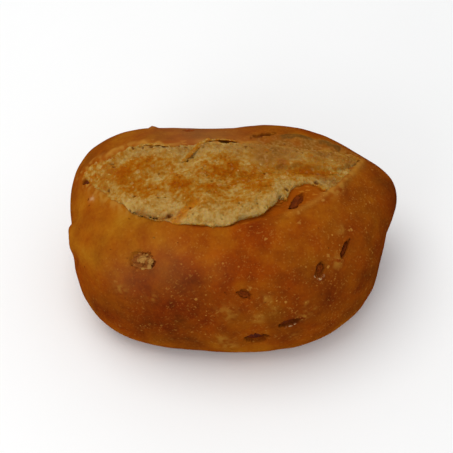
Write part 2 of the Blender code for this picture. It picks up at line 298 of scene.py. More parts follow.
def fruit_dips(points):
    """How far the crust dips towards each fruit."""
    dip = np.zeros(len(points))
    for bearing, height, half_sizes, _, _, depth, *_ in FRUIT.values():
        middle = plain_crust(towards(bearing, height)[None, :])[0]
        spread = DENT_SPREAD * (half_sizes[0] + half_sizes[1]) / 2
        dip -= depth * bell(np.linalg.norm(points - middle, axis=1), 0.0, spread)
    return dip


print("fruits in the roll:", len(FRUIT))

# %% [markdown]
# Crust relief
#
# The crust is one sheet over the whole roll. Its lips rise beside the tear, its skin sinks where it was
# stretched, and under the crumb it drops into a trough, so that the crumb can be a piece of its own
# with a real ragged edge over it. The lumps are the lobe at the left end, blisters, and raisins that
# stay wholly under the skin.

# %% Lips, stretched skin, lumps and blisters
LUMPS = (
    (-171.6, 9.8, 2.9, 1.9), (-167.6, 7.2, 2.9, 1.9), (-176.8, 12.8, 1.9, -1.4), (-163, 4.4, 1.9, -1.4),
    (39, 44.6, 5, 0.9), (24, 34.7, 3.6, 0.8), (132, 34.9, 1.1, 0.95), (-148, 12, 2, 0.5),
    (-27, -9, 2.5, -0.8),
)
SLOW_WAVES = ((0.35, 21.0, 5.3), (0.10, 6.0, 9.2))
PULL_WAVES = ((0.24, (5.0, 0.9, 1.4), 2.7), (0.25, (7.0, 2.2, 2.2), 4.1))
PATH_WAVES = ((0.45, 2.6, 111.0),)
SKIN_SINK, SKIN_STEP = 0.4, 2.0
FRONT_LIP_RISE, BACK_LIP_RISE, LIP_SETBACK, LIP_WIDTH = 0.5, 0.4, 0.7, 1.2
CRUMB_GROOVE, CRUMB_GROOVE_WIDTH = 0.8, 1.2
EDGE_WANDER, EDGE_SPACING, EDGE_SEED = 0.35, 5.0, 3.1
TROUGH, TROUGH_RUN = 2.7, 1.4
GOLD_RISE = 0.65
BLISTER_RISE, BLISTER_CRESTS, BLISTER_SPACING, BLISTER_SEED = 0.16, 1.2, 1.3, 6.1
# How far the torn crumb spills over its plain front and back edges, at places along X
FRONT_EDGE = (
    (-56, -1), (-50, 0), (-40.2, 0), (-37.5, 1.9), (-34, 2.3), (-27, 0.7), (-22.5, 0.2), (-18, 1.3),
    (-6.5, -0.3), (-1, -2), (3, -2.7), (8, -0.6), (13.5, -2.4), (17, 1), (24, 0.2), (30, -1),
    (35.4, 0.9), (45, -1.4),
)
BACK_EDGE = (
    (-50, -1), (-44, -2), (-36, -0.5), (-32, -1.2), (-28, -2.8), (-22, -3.8), (-15, -3.3),
    (-6, -2.6), (1, -2.5), (8, -4), (15, -6), (24, -8), (34, -6), (44, -2),
)
MEMBRANE_PATH = ((-22.2, -16.6), (-19.0, -13.6), (-14.0, -10.2))
MEMBRANE_WIDTHS, MEMBRANE_DEPTH = (1.8, 1.3), 0.9
LEDGE_PATH = ((-35.5, -11.4), (-33.0, -12.9), (-28.0, -14.3), (-23.5, -14.6))
LEDGE_DEPTH, LEDGE_WIDTH = 1.1, 1.2
# Rough pale spots where the skin blistered: bearing, height, spread in degrees
BLISTERS = (
    (-98, 14.3, 3.8), (-83.2, 11, 2.6), (-76, 15, 1.8), (-100, -5, 2.8), (-29.7, 33.5, 1.8),
    (-41.7, 25.7, 2.4), (132.4, 34.9, 1), (-140, 12.7, 1.9), (-129, 15, 1.5), (-66, -6, 1.5),
    (-61, 15, 1.3), (-57, 11, 1), (-97, -12, 3.6), (-79, 21, 2.6), (-62, 8, 2.4), (60, 12, 2),
    (112, 5, 2.4), (155, 8, 1.8), (36, 10, 2),
)


def tear_fields(points):
    """How far inside the tear and the crumb each point lies, and how near the back lip it is."""
    x, y = points[:, 0], points[:, 1]
    torn = distance_inside(points, front_lip, back_lip)
    crumb = distance_inside(points, crumb_front, back_lip)
    crumb += EDGE_WANDER * wave(points, EDGE_SPACING, EDGE_SEED)
    to_back = smooth((y - front_lip(x)) / np.maximum(back_lip(x) - front_lip(x), 1.0))
    crumb += (1 - to_back) ** 3 * np.interp(x, *zip(*FRONT_EDGE))
    crumb += to_back**3 * np.interp(x, *zip(*BACK_EDGE))
    return torn, crumb, to_back


def near_path(points, path, widths, steepness=4):
    """1 on a path seen from above, falling to 0 over its width."""
    near = np.zeros(len(points))
    wander = waves(points, PATH_WAVES)
    for start, end, width in zip(path, path[1:], widths):
        apart = distance_to_run(points[:, :2], np.array(start), np.array(end)) + wander
        near = np.maximum(near, bell(apart, 0.0, width, steepness))
    return near * (points[:, 2] > HEART[2])


def oval(points, x, y, long, wide):
    """A soft oval seen from above."""
    return bell(points[:, 0], x, long) * bell(points[:, 1], y, wide)


def ovals(points, places):
    """The sum of soft ovals. Each row is x, y, half-length, half-width and share."""
    return sum(share * oval(points, *place) for *place, share in places)


def off_the_tips(points):
    """1 over most of the tear, falling to 0 near its two tips."""
    return after(points[:, 0], -46.0, 10.0) * before(points[:, 0], 44.0, 10.0)


def soft_edge(points):
    """1 where the crumb's front edge lies on the skin, with hardly a shadow under it: left and right."""
    x = points[:, 0]
    return bell(x, -27.0, 12.0, 4) + after(x, 6.0, 8.0) * before(x, 60.0, 8.0)


# Where the thin crust along the back edge curled and went gold: middle and half-length along X, share
GOLD_EDGES = ((-27.0, 8.0, 1.0), (-7.0, 6.0, 0.9), (6.0, 4.0, 0.5), (-43.0, 4.0, 0.6))


def gold_edge(points, crumb):
    """How much each point belongs to the gold edge along the back of the crumb."""
    share = sum(most * bell(points[:, 0], x, half, 4) for x, half, most in GOLD_EDGES)
    return share * bell(crumb + 0.5 * wave(points, 3.0, 27.0), -1.0, 0.9)


def crust_relief(points, rays):
    """The height of the dressed crust over the plain form."""
    x = points[:, 0]
    torn, crumb, to_back = tear_fields(points)
    rise = FRONT_LIP_RISE * (1 - to_back) + BACK_LIP_RISE * to_back
    relief = rise * bell(torn, -LIP_SETBACK, LIP_WIDTH)
    in_tear = smooth(torn / SKIN_STEP)
    groove = CRUMB_GROOVE * (1 - 0.75 * to_back) * (0.3 + 0.7 * after(x, -44.0, 8.0))
    groove *= (1 - 0.9 * after(x, 30.0, 8.0)) * (1 - 0.5 * soft_edge(points))
    relief -= groove * bell(crumb, 0.0, CRUMB_GROOVE_WIDTH) * in_tear
    relief -= SKIN_SINK * in_tear
    trough_start = 1.1 - 0.9 * off_the_tips(points) + 0.45 * soft_edge(points) * (1 - to_back)
    relief -= TROUGH * after(crumb, trough_start, TROUGH_RUN)
    relief += GOLD_RISE * gold_edge(points, crumb) * to_back
    relief += spots(rays, LUMPS) + waves(points, SLOW_WAVES)
    crests = 1 + BLISTER_CRESTS * ridges(points, BLISTER_SPACING, BLISTER_SEED)
    relief += BLISTER_RISE * crests * sum(nearness(rays, *place) for place in BLISTERS)
    pull = bell(torn, 1.5, 4.0) * after(x, 2.0, 12.0) * (crumb < 0.5)
    return relief + pull * waves(points, PULL_WAVES) + fruit_dips(points)


lip_ray = towards(-90.0, 60.0)[None, :]
print("relief near the front lip in mm:", round(crust_relief(plain_crust(lip_ray), lip_ray)[0], 2))

# %% [markdown]
# Openings over the fruit
#
# A raisin isn't laid on the crust. The skin opens over it with a ragged rim, and the gap is darkest on
# one side: that shade is painted into the crust's colour round the rim, and two rims get a painted
# glint. Each opening is worked out in the fruit's own axes: inside the rim the crust drops, and the
# rim itself is raised a little, as torn skin dries and curls.

# %% Fruit axes and their openings
RIM_WAVES = ((0.16, 1.7, 4.4), (0.08, 0.7, 8.4))
NEAR_RING, NEAR_DEPTH, FAR_RING = 3.0, 8.0, 9.0
# Rims that get a painted glint, and the side of the rim where it is painted, in degrees
GLINT_SIDES = {"raisin_02": -90.0, "raisin_04": 180.0}


def fruit_axes(name):
    """A fruit's place on the dipped crust, and its axes along, across and out."""
    bearing, height, _, heading, *_ = FRUIT[name]
    ray = towards(bearing, height)[None, :]
    base = plain_crust(ray)
    place = base + outward(base) * crust_relief(base, ray)[:, None]
    out = outward(place)[0]
    heading = math.radians(heading)
    length = np.array([1.0, 0.0, 0.0]) * math.cos(heading) + UP_THE_CRUST * math.sin(heading)
    along = length - out * (length @ out)
    along /= np.linalg.norm(along)
    return place[0], along, np.cross(out, along), out


AXES = {name: fruit_axes(name) for name in FRUIT}


def opening(points, name):
    """0 at the middle of a fruit's opening and 1 at its ragged rim, and the side of it as an angle."""
    place, along, across, out = AXES[name]
    row = FRUIT[name]
    from_middle = points - place
    u, v = from_middle @ along, from_middle @ across
    ring = np.hypot(u / (row[HALF_SIZES][0] * row[OPEN_ALONG]), v / (row[HALF_SIZES][1] * row[OPEN_ACROSS]))
    near = (ring < NEAR_RING) & (np.abs(from_middle @ out) < NEAR_DEPTH)
    ragged = np.zeros(len(points))
    ragged[near] = waves(points[near], RIM_WAVES)
    return np.where(near, ring + ragged, FAR_RING), np.arctan2(v, u)


def open_over_fruit(points):
    """The drop of the crust at each opening, the painted shade in the gap at its rim, and a painted glint.
    """
    drop, rim_shade, painted_glint = (np.zeros(len(points)) for _ in range(3))
    for name, row in FRUIT.items():
        ring, angle = opening(points, name)
        facing = 0.5 + 0.5 * np.cos(angle - math.radians(row[GAP_SIDE]))
        drop -= row[OPEN_DEPTH] * (1 - after(ring, 0.80, 0.30)) * (0.55 + 0.75 * facing)
        drop += 0.20 * bell(ring, 1.2, 0.16) * (1.2 - 0.6 * facing)
        # Painted shade in the gap beside the fruit, darkest on the gap side and fainter under baked skin
        edge_shade = (1 - after(ring, 0.86, 0.26)) * (0.45 + 0.55 * facing)
        rim_shade = np.maximum(rim_shade, edge_shade * (1 - 0.7 * row[SKIN]))
        # A painted highlight on one side of the rim
        if name in GLINT_SIDES:
            towards_glint = np.cos(angle - math.radians(GLINT_SIDES[name]))
            lit = bell(ring, 1.2, 0.10) * after(towards_glint, 0.5, 0.4)
            painted_glint = np.maximum(painted_glint, lit * smooth(0.5 + 1.2 * wave(points, 0.8, 13.0)))
    return drop, rim_shade, painted_glint


for name in ("raisin_01", "nut_piece"):
    low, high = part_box(name)
    middle = (np.array(low) + np.array(high)) / 2 / MM
    row_middle = AXES[name][0] - AXES[name][3] * FRUIT[name][SUNK]
    apart = float(np.linalg.norm(middle - row_middle))
    print(name, "lies", round(apart, 2), "mm from its packed solid's middle")

# %% [markdown]
# The crust as a mesh
#
# A ball of even triangles is the simplest start, because it has no poles. Most of the crust is calm and
# needs few triangles, so the ball is only cut finer where something small happens: along the lips, in
# the stretched skin and round each fruit. Then every corner moves out along its ray.

# %% Refine the ball and move its corners
BALL_STEPS, FRUIT_STEPS, NUT_STEPS = 7, 5, 6
BOX_ROOM = 0.02


def ball(steps):
    made = bmesh.new()
    bmesh.ops.create_icosphere(made, subdivisions=steps, radius=1.0)
    return made


def rays_of(parts):
    rays = np.array([p.co if isinstance(p, bmesh.types.BMVert) else p.calc_center_median() for p in parts])
    return rays / np.linalg.norm(rays, axis=1, keepdims=True)


def refine(made, wanted):
    """Cuts the faces finer where the test says so."""
    near = wanted(plain_crust(rays_of(made.faces)))
    edges = {edge for face, is_near in zip(made.faces, near) if is_near for edge in face.edges}
    bmesh.ops.subdivide_edges(made, edges=list(edges), cuts=1, use_grid_fill=True)
    bmesh.ops.triangulate(made, faces=made.faces[:])


def near_fruit(points, room):
    near = np.zeros(len(points), bool)
    for name in FRUIT:
        near |= np.linalg.norm(points - AXES[name][0], axis=1) < FRUIT[name][HALF_SIZES][0] * 1.25 + room
    return near


def near_lip(points):
    torn = distance_inside(points, front_lip, back_lip)
    crumb = distance_inside(points, crumb_front, back_lip)
    return (torn > -3.0) & (crumb < 2.5)


def inside_box(points):
    """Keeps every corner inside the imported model's box."""
    low = np.array(cad_box[0]) / MM + BOX_ROOM
    high = np.array(cad_box[1]) / MM - BOX_ROOM
    low[2] = 0.0
    return np.clip(points, low, high)


crust_ball = ball(BALL_STEPS)
refine(crust_ball, lambda points: near_lip(points) | near_fruit(points, 1.2))
refine(crust_ball, lambda points: near_fruit(points, 0.2))
crust_rays = rays_of(crust_ball.verts)
crust_plain = plain_crust(crust_rays)
crust_height = crust_relief(crust_plain, crust_rays)
crust_out = outward(crust_plain)
closed = crust_plain + crust_out * crust_height[:, None]
drop, painted_rim_shade, painted_highlights = open_over_fruit(closed)
crust_points = inside_box(set_on_tray(closed + crust_out * drop[:, None]))
print("crust corners:", len(crust_points), " faces:", len(crust_ball.faces))

# %% [markdown]
# How the oven browned the crust
#
# Browning isn't one colour. The high left end stayed gold, the skin under the lip went orange and red,
# and the shoulder at the left front went dark. Each row is a place, how far its colour reaches, how
# brown it is from 0 to 1, and how red it is from 0, gold, to 1, red. A corner takes the mean of the
# rows near it. This could be painted by hand, but a rule keeps all sides alike in kind.

# %% The browning table
BROWNING = (
    (-156, 29, 13, 0.29, 0.22), (-170, 20, 9, 0.38, 0.6), (-127, 46, 8, 0.36, 0.55),
    (-113, 45, 7, 0.4, 0.75), (-96, 43, 8, 0.5, 1), (-124.3, 45, 5, 0.46, 0.9),
    (-137.5, 41, 4, 0.42, 0.6), (-70, 50, 7, 0.6, 0.95), (-55, 44, 7, 0.5, 0.6), (-85, 37, 6, 0.6, 0.8),
    (-56, 36, 5, 0.52, 0.35), (-30, 38, 8, 0.5, 0.5), (-42, 41.5, 4, 0.68, 0.72),
    (-8, 33, 9, 0.48, 0.4), (-10, 14, 8, 0.8, 0.55), (-26, 22, 6, 0.66, 0.55), (-42, 16, 6, 0.72, 0.55),
    (-66, 24, 7, 0.66, 0.75), (-84, 28, 4, 0.58, 0.45), (-98, 26, 8, 0.6, 0.75),
    (-121, 11.4, 9, 0.88, 0.95), (-106, 12, 4, 0.64, 0.8), (-129, 31, 7, 0.82, 0.62),
    (-120, 24, 6, 0.84, 0.7), (-76, 14, 4.5, 0.6, 0.12), (-148, 14, 9, 0.58, 0.4),
    (-140, 2, 8, 0.78, 0.5), (-95, 6, 7, 0.6, 0.5), (-98, -4, 6, 0.52, 0.25), (-70, 8, 7, 0.66, 0.4),
    (-56, 0, 8, 0.7, 0.45), (-80, 20, 4.5, 0.76, 0.56), (-118, -8, 8, 0.76, 0.45),
    (-172, 2, 9, 0.55, 0.35), (114, 50, 13, 0.62, 0.28), (84, 52, 8, 0.52, 0.3), (56, 50, 8, 0.5, 0.32),
    (30, 43, 8, 0.48, 0.25), (10, 38, 7, 0.5, 0.3), (150, 28, 14, 0.46, 0.35), (90, 14, 16, 0.64, 0.55),
    (40, 8, 14, 0.7, 0.5), (140, 2, 14, 0.66, 0.45), (0, -4, 12, 0.74, 0.45),
)
PALE_RING_HEIGHT, PALE_RING_WIDTH = 7.0, 7.0
PLAIN_BROWN, PLAIN_RED, PLAIN_WEIGHT = 0.62, 0.5, 0.03
UNDERSIDE_BROWN, UNDERSIDE_HEIGHT = 0.82, 2.5
BROWN_WAVES = ((0.10, 11.0, 31.0), (0.05, 4.0, 33.0))
RED_WAVES = ((0.22, 9.0, 37.0), (0.10, 3.5, 39.0))


def browning(points, rays):
    """How brown and how red each corner of the crust is."""
    weight = np.full(len(rays), PLAIN_WEIGHT)
    brown, red = PLAIN_BROWN * weight, PLAIN_RED * weight
    for *place, brown_here, red_here in BROWNING:
        share = nearness(rays, *place)
        weight += share
        brown += share * brown_here
        red += share * red_here
    brown, red = brown / weight, red / weight
    ring = bell(points[:, 2], PALE_RING_HEIGHT, PALE_RING_WIDTH)
    brown -= 0.22 * ring
    red -= 0.15 * ring
    under = before(points[:, 2], UNDERSIDE_HEIGHT, UNDERSIDE_HEIGHT)
    brown += under * (UNDERSIDE_BROWN + 0.1 * wave(points, 9.0, 1.9) - brown)
    brown += waves(points, BROWN_WAVES)
    red += waves(points, RED_WAVES)
    return np.clip(brown, 0.0, 1.0), np.clip(red, 0.0, 1.0)


crust_brown, crust_red = browning(crust_points, crust_rays)
print("browning runs from", round(crust_brown.min(), 2), "to", round(crust_brown.max(), 2))

# %% [markdown]
# Thin skin, blisters and fruit that shows through
#
# Along the lips and in the stretched skin the crust is thin, so the light dough shows through it and it
# looks gold or orange. Blisters are dry and pale. Behind the tear on the right, two raisins lie just
# under the skin and give it a grey-olive tone. Each of these is a share from 0 to 1 at each corner.

# %% Shares for the special places of the crust
# Raisins under the skin, seen from above: from x, y to x, y and the half-width
UNDER_SKIN = ((19.1, 20.9, 29.2, 21.7, 1.3), (33.6, 19.9, 39.5, 18.0, 1.2))
# Where flecks are many, and where a sheen is painted on the skin as a pale veil: bearing, height, spread,
# share
FLECKY_PLACES = ((-70, 12, 34, 1), (-40, 40, 20, 0.7), (-125, 5, 18, 0.6), (60, 10, 40, 0.7))
FLECKS_EVERYWHERE = 0.18
SHEEN_PLACES = ((-128, 31, 8, 0.12), (-140, 18, 5, 0.1), (-104, 36, 5, 0.04), (112, 50, 15, 0.25))
# Where a smooth tan skin lies over the dough, seen from above: x, y, half-length, half-width, share
TAN_PLACES = (
    (28, 13, 14, 6, 0.85), (13, 9.5, 6.5, 6, 0.9), (42, 11, 6, 4, 0.5), (8, 17, 8, 2.6, 0.7),
    (24, 20, 15, 4, 0.45), (34, 19, 9, 3.6, 0.5), (-1, 14.5, 6, 2.5, 0.4), (-46, 7, 5, 7, 0.3),
)
# A painted highlight on the left end: bearing, height, spread
GLINT_SPOT = (-177.2, 24.6, 0.7)


def tan_share(points):
    """How much of the smooth tan skin lies at each point."""
    share = ovals(points, TAN_PLACES) * (0.85 + 0.4 * wave(points, 4.0, 101.0))
    return np.clip(share, 0, 1) * (points[:, 2] > HEART[2])


torn, crumb, to_back = tear_fields(crust_plain)
crust_x = crust_plain[:, 0]
crust_stretch = smooth(torn / 1.4) * (crumb < 2.0)
crust_thin = 0.4 * bell(torn, -0.5, 1.0) * (1 - to_back) * after(crust_x, 12.0, 12.0)
crust_thin += 1.2 * gold_edge(crust_plain, crumb) * to_back
crust_blister = sum(nearness(crust_rays, b, h, s * 0.8) for b, h, s in BLISTERS)
crust_blister *= smooth(0.45 + 0.9 * wave(crust_plain, 1.6, 14.0))
crust_fruit = np.zeros(len(crust_plain))
for x0, y0, x1, y1, wide in UNDER_SKIN:
    apart = distance_to_run(crust_plain[:, :2], np.array([x0, y0]), np.array([x1, y1]))
    apart += 0.5 * wave(crust_plain, 2.4, 21.0)
    shown = (1 - after(apart, wide * 0.4, wide)) * (crust_plain[:, 2] > 30.0)
    crust_fruit = np.maximum(crust_fruit, shown)
crust_flecky = (FLECKS_EVERYWHERE + spots(crust_rays, FLECKY_PLACES)) * (1 - 0.6 * crust_stretch)
under_lip = bell(torn, -4.0, 3.5) * (1 - to_back) * after(crust_x, -34.0, 8.0)
crust_flecky = np.clip(np.clip(crust_flecky, 0.0, 1.0) + 0.5 * under_lip, 0.0, 1.0)
crust_tan = tan_share(crust_plain) * after(torn, -4.5, 4.0)
# Painted sheen: a pale veil in place of the sheen on the left shoulder and the back
crust_painted_sheen = spots(crust_rays, SHEEN_PLACES)
# Near both tips of the tear the crumb runs out into the crust in pale patches
run_out = before(crust_x, -32.0, 8.0) + after(crust_x, 26.0, 8.0)
crust_crumby = bell(crumb, -0.5, 1.9) * run_out * smooth(0.5 + 1.2 * wave(crust_plain, 1.8, 117.0))
# Painted highlight on the left end, joined to the painted glints on the rims
spot_glint = 0.55 * nearness(crust_rays, *GLINT_SPOT) * smooth(0.6 + wave(crust_plain, 0.9, 13.0))
painted_highlights = np.maximum(painted_highlights, spot_glint)
print("stretched skin corners:", int((crust_stretch > 0.5).sum()))

# %% [markdown]
# From corners to a piece
#
# A mesh can carry a number at each corner, and a material can read it by name. That keeps the colour
# on the dough whichever way the roll is turned, and needs no picture. One helper writes the corners
# and these numbers, and puts the piece on the body that carries it.

# %% Make the crust piece


def write_mesh(made, points, name, fields):
    """Moves the corners, makes the mesh and writes a number at each corner for each field."""
    for vert, place in zip(made.verts, points * MM):
        vert.co = place
    mesh = bpy.data.meshes.new(name)
    made.to_mesh(mesh)
    made.free()
    for label, values in fields.items():
        layer = mesh.attributes.new(label, "FLOAT", "POINT")
        layer.data.foreach_set("value", np.asarray(values, dtype=np.float32))
    mesh.shade_smooth()
    return mesh


def put_in_scene(name, data):
    made = bpy.data.objects.new(name, data)
    bpy.context.scene.collection.objects.link(made)
    return made


def add_piece(name, mesh, node):
    piece = put_in_scene(name, mesh)
    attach(piece, "root")
    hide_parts(node)
    return piece


crust_fields = {
    "brown": crust_brown,
    "red": crust_red,
    "stretch": crust_stretch,
    "thin": np.clip(crust_thin, 0, 1),
    "blister": np.clip(crust_blister, 0, 1),
    "fruit_below": crust_fruit,
    "tan": crust_tan,
    "painted_rim_shade": painted_rim_shade,
    "painted_glint": np.clip(painted_highlights, 0, 1),
    "flecky": crust_flecky,
    "painted_sheen": crust_painted_sheen,
    "crumby": crust_crumby,
}
crust = add_piece("crust", write_mesh(crust_ball, crust_points, "crust", crust_fields), "loaf")
print("crust faces:", len(crust.data.polygons))

# %% [markdown]
# The torn crumb
#
# Where the dough tore, the soft inside came up and set in the heat. It is craggy, full of small holes,
# and at its front edge it bulges over the skin. Sculpting all of it would take a day. The same ray rule
# works here too: a finer patch of the ball over the tear, moved out by crags of several sizes, with a
# steep front edge that leans forward and dives under the skin.

# %% Crags, bulge and edge of the crumb
CRAGS = ((0.9, (13, 9, 9), 11.7), (0.45, (6.0, 4.8, 4.8), 23.4), (0.26, (3.2, 2.8, 2.8), 35.1))
RAGGED_WAVES = ((0.40, 2.2, 67.0), (0.25, 0.9, 71.0))
FRONT_CROWN, BACK_CROWN = 3.5, 0.8
EDGE_DROP, CRUMB_SINK = 1.6, 0.35
LEAN = 1.0
# Where the front bulges most: middle and half-length along X, and its share
BULGES = ((-31.0, 8.5, 0.85), (-4.0, 13.0, 1.0), (12.0, 6.0, 0.5))
# Where the crumb is calmer: x, y, half-length, half-width, share
CALM_PLACES = ((28, 16, 12, 7, 0.9), (9, 8.5, 6.5, 5, 0.7), (28, 2.2, 8, 2.5, 0.6), (-26, 9.4, 7, 3, 0.4),
               (-19.8, -4.4, 4, 3.5, 0.4))
# Loose lumps of crumb at the right of the front edge: x, y, half-width and height
KNOBS = ((13.8, -10.3, 1.3, 0.9), (15.4, -8.2, 1.1, 0.5), (33.2, -2.4, 1.6, 0.9), (36.6, 1.0, 1.4, 0.6),
         (30.0, -4.4, 1.3, 0.5), (24.2, -3.0, 1.6, 0.4))
# A fold on the right: the crumb stands higher behind this path than in front of it
FOLD_PATH = ((17.0, 4.6), (29.0, 3.8), (36.0, 4.4), (43.0, 9.0))
FOLD_WIDTHS, FOLD_RISE = (3.0, 3.2, 2.4), 1.5
# Under the strand at the back the crumb was drawn up into a low ridge
STRAND_RIDGE = ((-8.2, 19.6), (-11.4, 15.8), (-14.9, 11.3), (-17.6, 8.8))
RIDGE_WIDTH, RIDGE_RISE = 1.2, 0.45


def fold_side(points):
    """1 behind the fold's path and 0 in front of it, with a short step between."""
    x, y = points[:, 0], points[:, 1]
    return smooth(0.5 + (y - np.interp(x, *zip(*FOLD_PATH)) + 0.5 * wave(points, 3.0, 97.0)) / 1.4)


def bulge(points, to_back):
    """How strongly the crumb bulges over its front edge, from 0 to 1."""
    share = sum(amount * bell(points[:, 0], middle, half) for middle, half, amount in BULGES)
    return np.clip(share, 0, 1) * (1 - to_back) ** 2


def crumb_relief(points, torn, crumb, to_back):
    """The height of the crumb over the plain form, without its pores."""
    x = points[:, 0]
    rough = 1 - np.clip(ovals(points, CALM_PLACES), 0, 0.9)
    puff = bulge(points, to_back)
    low_end = 0.2 + 0.5 * after(x, -52.0, 14.0) * before(x, 50.0, 14.0)
    rise = (low_end + (FRONT_CROWN - low_end) * puff) * (1 - to_back) + BACK_CROWN * to_back
    rise += waves(points, CRAGS) * (0.35 + 0.65 * rough)
    rise += 0.20 * (ridges(points, (2.9, 2.4, 2.4), 51.0) - 0.5) * rough
    fine = 0.18 * (ridges(points, (1.5, 1.3, 1.3), 57.0) - 0.5) + 0.13 * wave(points, 0.75, 61.0)
    rise += fine * (0.2 + 0.8 * rough)
    rise += sum(height * oval(points, *place, wide, wide) for *place, wide, height in KNOBS)
    rise += 0.16 * bell(crumb, 0.0, 4.5) * (1 - to_back) * wave(points, (1.0, 4.0, 4.0), 63.0)
    rise -= MEMBRANE_DEPTH * near_path(points, MEMBRANE_PATH, MEMBRANE_WIDTHS)
    rise += RIDGE_RISE * near_path(points, STRAND_RIDGE, (RIDGE_WIDTH,) * 3, 2)
    rise += FOLD_RISE * (fold_side(points) - 0.5) * near_path(points, FOLD_PATH, FOLD_WIDTHS)
    ragged = crumb + waves(points, RAGGED_WAVES)
    low = (0.30 + 0.15 * wave(points, 2.0, 75.0)) * (0.1 + 0.9 * off_the_tips(points))
    climb = np.clip((ragged - 0.1) / (2.4 + 2.4 * (1 - puff)), 0.0, 1.0)
    height = (rise - low) * np.sqrt(1 - (1 - climb) ** 2) + low
    ledge = near_path(points, LEDGE_PATH, (LEDGE_WIDTH,) * 3, 2)
    height -= LEDGE_DEPTH * ledge * (0.8 + 0.5 * wave(points, 1.1, 79.0)) * smooth(ragged)
    dive = 1 - after(ragged, -0.45, 0.8)
    return height - CRUMB_SINK * smooth(torn / SKIN_STEP) - (EDGE_DROP + low) * dive


def cut_away(made, edge):
    """Deletes the faces that lie farther outside the crumb's outline than the edge allows."""
    reach = distance_inside(plain_crust(rays_of(made.faces)), crumb_front, back_lip)
    outside = [face for face, inside in zip(made.faces, reach) if inside < edge]
    bmesh.ops.delete(made, geom=outside, context="FACES")


crumb_ball = ball(BALL_STEPS)
cut_away(crumb_ball, -3.0)
bmesh.ops.subdivide_edges(crumb_ball, edges=crumb_ball.edges[:], cuts=2, use_grid_fill=True)
bmesh.ops.triangulate(crumb_ball, faces=crumb_ball.faces[:])
cut_away(crumb_ball, -1.4)
print("crumb faces:", len(crumb_ball.faces))

# %% [markdown]
# Pores
#
# Bread crumb is foam. Where it tears, the bubbles open as small round holes, more at the edges, where
# it was pulled, than on the toasted top. Some are named, because they are large and give the tear its
# look. The rest are scattered by a seeded draw. Each pushes the nearby corners in.

# %% Scatter the pores
# x, y, radius and depth
NAMED_PORES = (
    (-36.2, 18.8, 0.8, 1.3), (-19.7, 17.4, 0.8, 1.3), (-3.2, 18.6, 0.9, 1.1), (4.8, 15.4, 0.8, 1.3),
    (-43.7, 11.9, 0.9, 1.2), (41.8, 12.6, 0.5, 0.7), (17.1, -6.6, 0.9, 1.5), (-45.4, 1.8, 0.6, 0.7),
    (28.4, -2.6, 1.2, 1.2), (-37.6, -9.8, 1, 1.2), (-17.3, 9.2, 1.1, 1.2), (-44.6, 14, 1, 0.6),
    (-29.4, 17.6, 1.1, 0.9), (-25.1, 17, 1, 0.9), (-16.9, 16.8, 0.8, 0.8), (-27.2, 4.4, 0.5, 0.7),
    (-20.6, 1.4, 0.5, 0.7), (-14.9, 11.4, 0.6, 0.7), (-17, -12.4, 0.5, 0.6), (-36, -4.6, 0.6, 0.8),
    (-32.6, 18, 0.8, 0.8), (-22.6, 17, 0.7, 0.8), (-27.8, -6.8, 0.5, 0.8), (-25.4, -7, 0.5, 0.8),
    (-33.2, -13.2, 0.8, 0.9), (-30.6, -13.9, 0.7, 0.9), (-24.4, -14.2, 0.8, 0.9), (10, 0.4, 0.5, 0.6),
)
PORE_TRIES, PORE_CELL = 26000, 1.5
draw = np.random.default_rng(83)
pore_rays = draw.normal(size=(PORE_TRIES, 3))
pore_rays /= np.linalg.norm(pore_rays, axis=1, keepdims=True)
pore_rays = pore_rays[pore_rays[:, 2] > 0.2]
pore_places = plain_crust(pore_rays)
_, pore_crumb, pore_back = tear_fields(pore_places)
likely = 0.7 * bell(pore_crumb, 0.0, 4.5) + 0.7 * bell(pore_back, 1.0, 0.16) + 0.10
chosen = (pore_crumb > 0.6) & (draw.uniform(size=len(pore_places)) < likely * 0.26)
pore_places = pore_places[chosen]
pore_sizes = 0.20 + 0.30 * draw.uniform(size=len(pore_places)) ** 2.5
print("pores:", len(pore_places), "and", len(NAMED_PORES), "named ones")


def pore_depth(points):
    """How deep the pores cut at each corner, in millimetres, and how much painted shade lies in the named
    holes.
    """
    depth, hole_shade = np.zeros(len(points)), np.zeros(len(points))
    boxes = {}
    for index, key in enumerate(map(tuple, np.floor(points / PORE_CELL).astype(int))):
        boxes.setdefault(key, []).append(index)
    shifts = [(i, j, k) for i in (-1, 0, 1) for j in (-1, 0, 1) for k in (-1, 0, 1)]
    for place, size in zip(pore_places, pore_sizes):
        home = np.floor(place / PORE_CELL).astype(int)
        near = [n for s in shifts for n in boxes.get(tuple(home + s), ())]
        if near:
            apart = np.linalg.norm(points[near] - place, axis=1) / size
            depth[near] = np.maximum(depth[near], size * 1.2 * (1 - after(apart, 0.35, 0.85)))
    ragged = 0.3 * wave(points, 0.9, 91.0)
    for x, y, size, deep in NAMED_PORES:
        apart = np.hypot(points[:, 0] - x, (points[:, 1] - y) * 1.25) / size
        hole = 1 - after(apart + ragged, 0.35, 0.7)
        depth = np.maximum(depth, 0.7 * deep * hole)
        # The named holes get painted shade where they cut deepest
        hole_shade = np.maximum(hole_shade, hole)
    return depth, hole_shade


crumb_rays = rays_of(crumb_ball.verts)
crumb_plain = plain_crust(crumb_rays)
crumb_torn, crumb_in, crumb_back = tear_fields(crumb_plain)
crumb_height = crumb_relief(crumb_plain, crumb_torn, crumb_in, crumb_back)
crumb_pores, crumb_hole_shade = pore_depth(crumb_plain)
crumb_pores *= after(crumb_in, 0.2, 0.8)
print("deepest pore in mm:", round(crumb_pores.max(), 2))

# %% [markdown]
# The crumb leans over the skin
#
# At the front the crumb rolled forward over the stretched skin and left a thin shadow under it. A
# height alone can't overhang, so the corners near the front edge are also pushed forward, most at a
# little distance inside the edge.

# %% Push the front forward and close the piece
INNER_POINT = (-4.0, 6.0, 38.0)


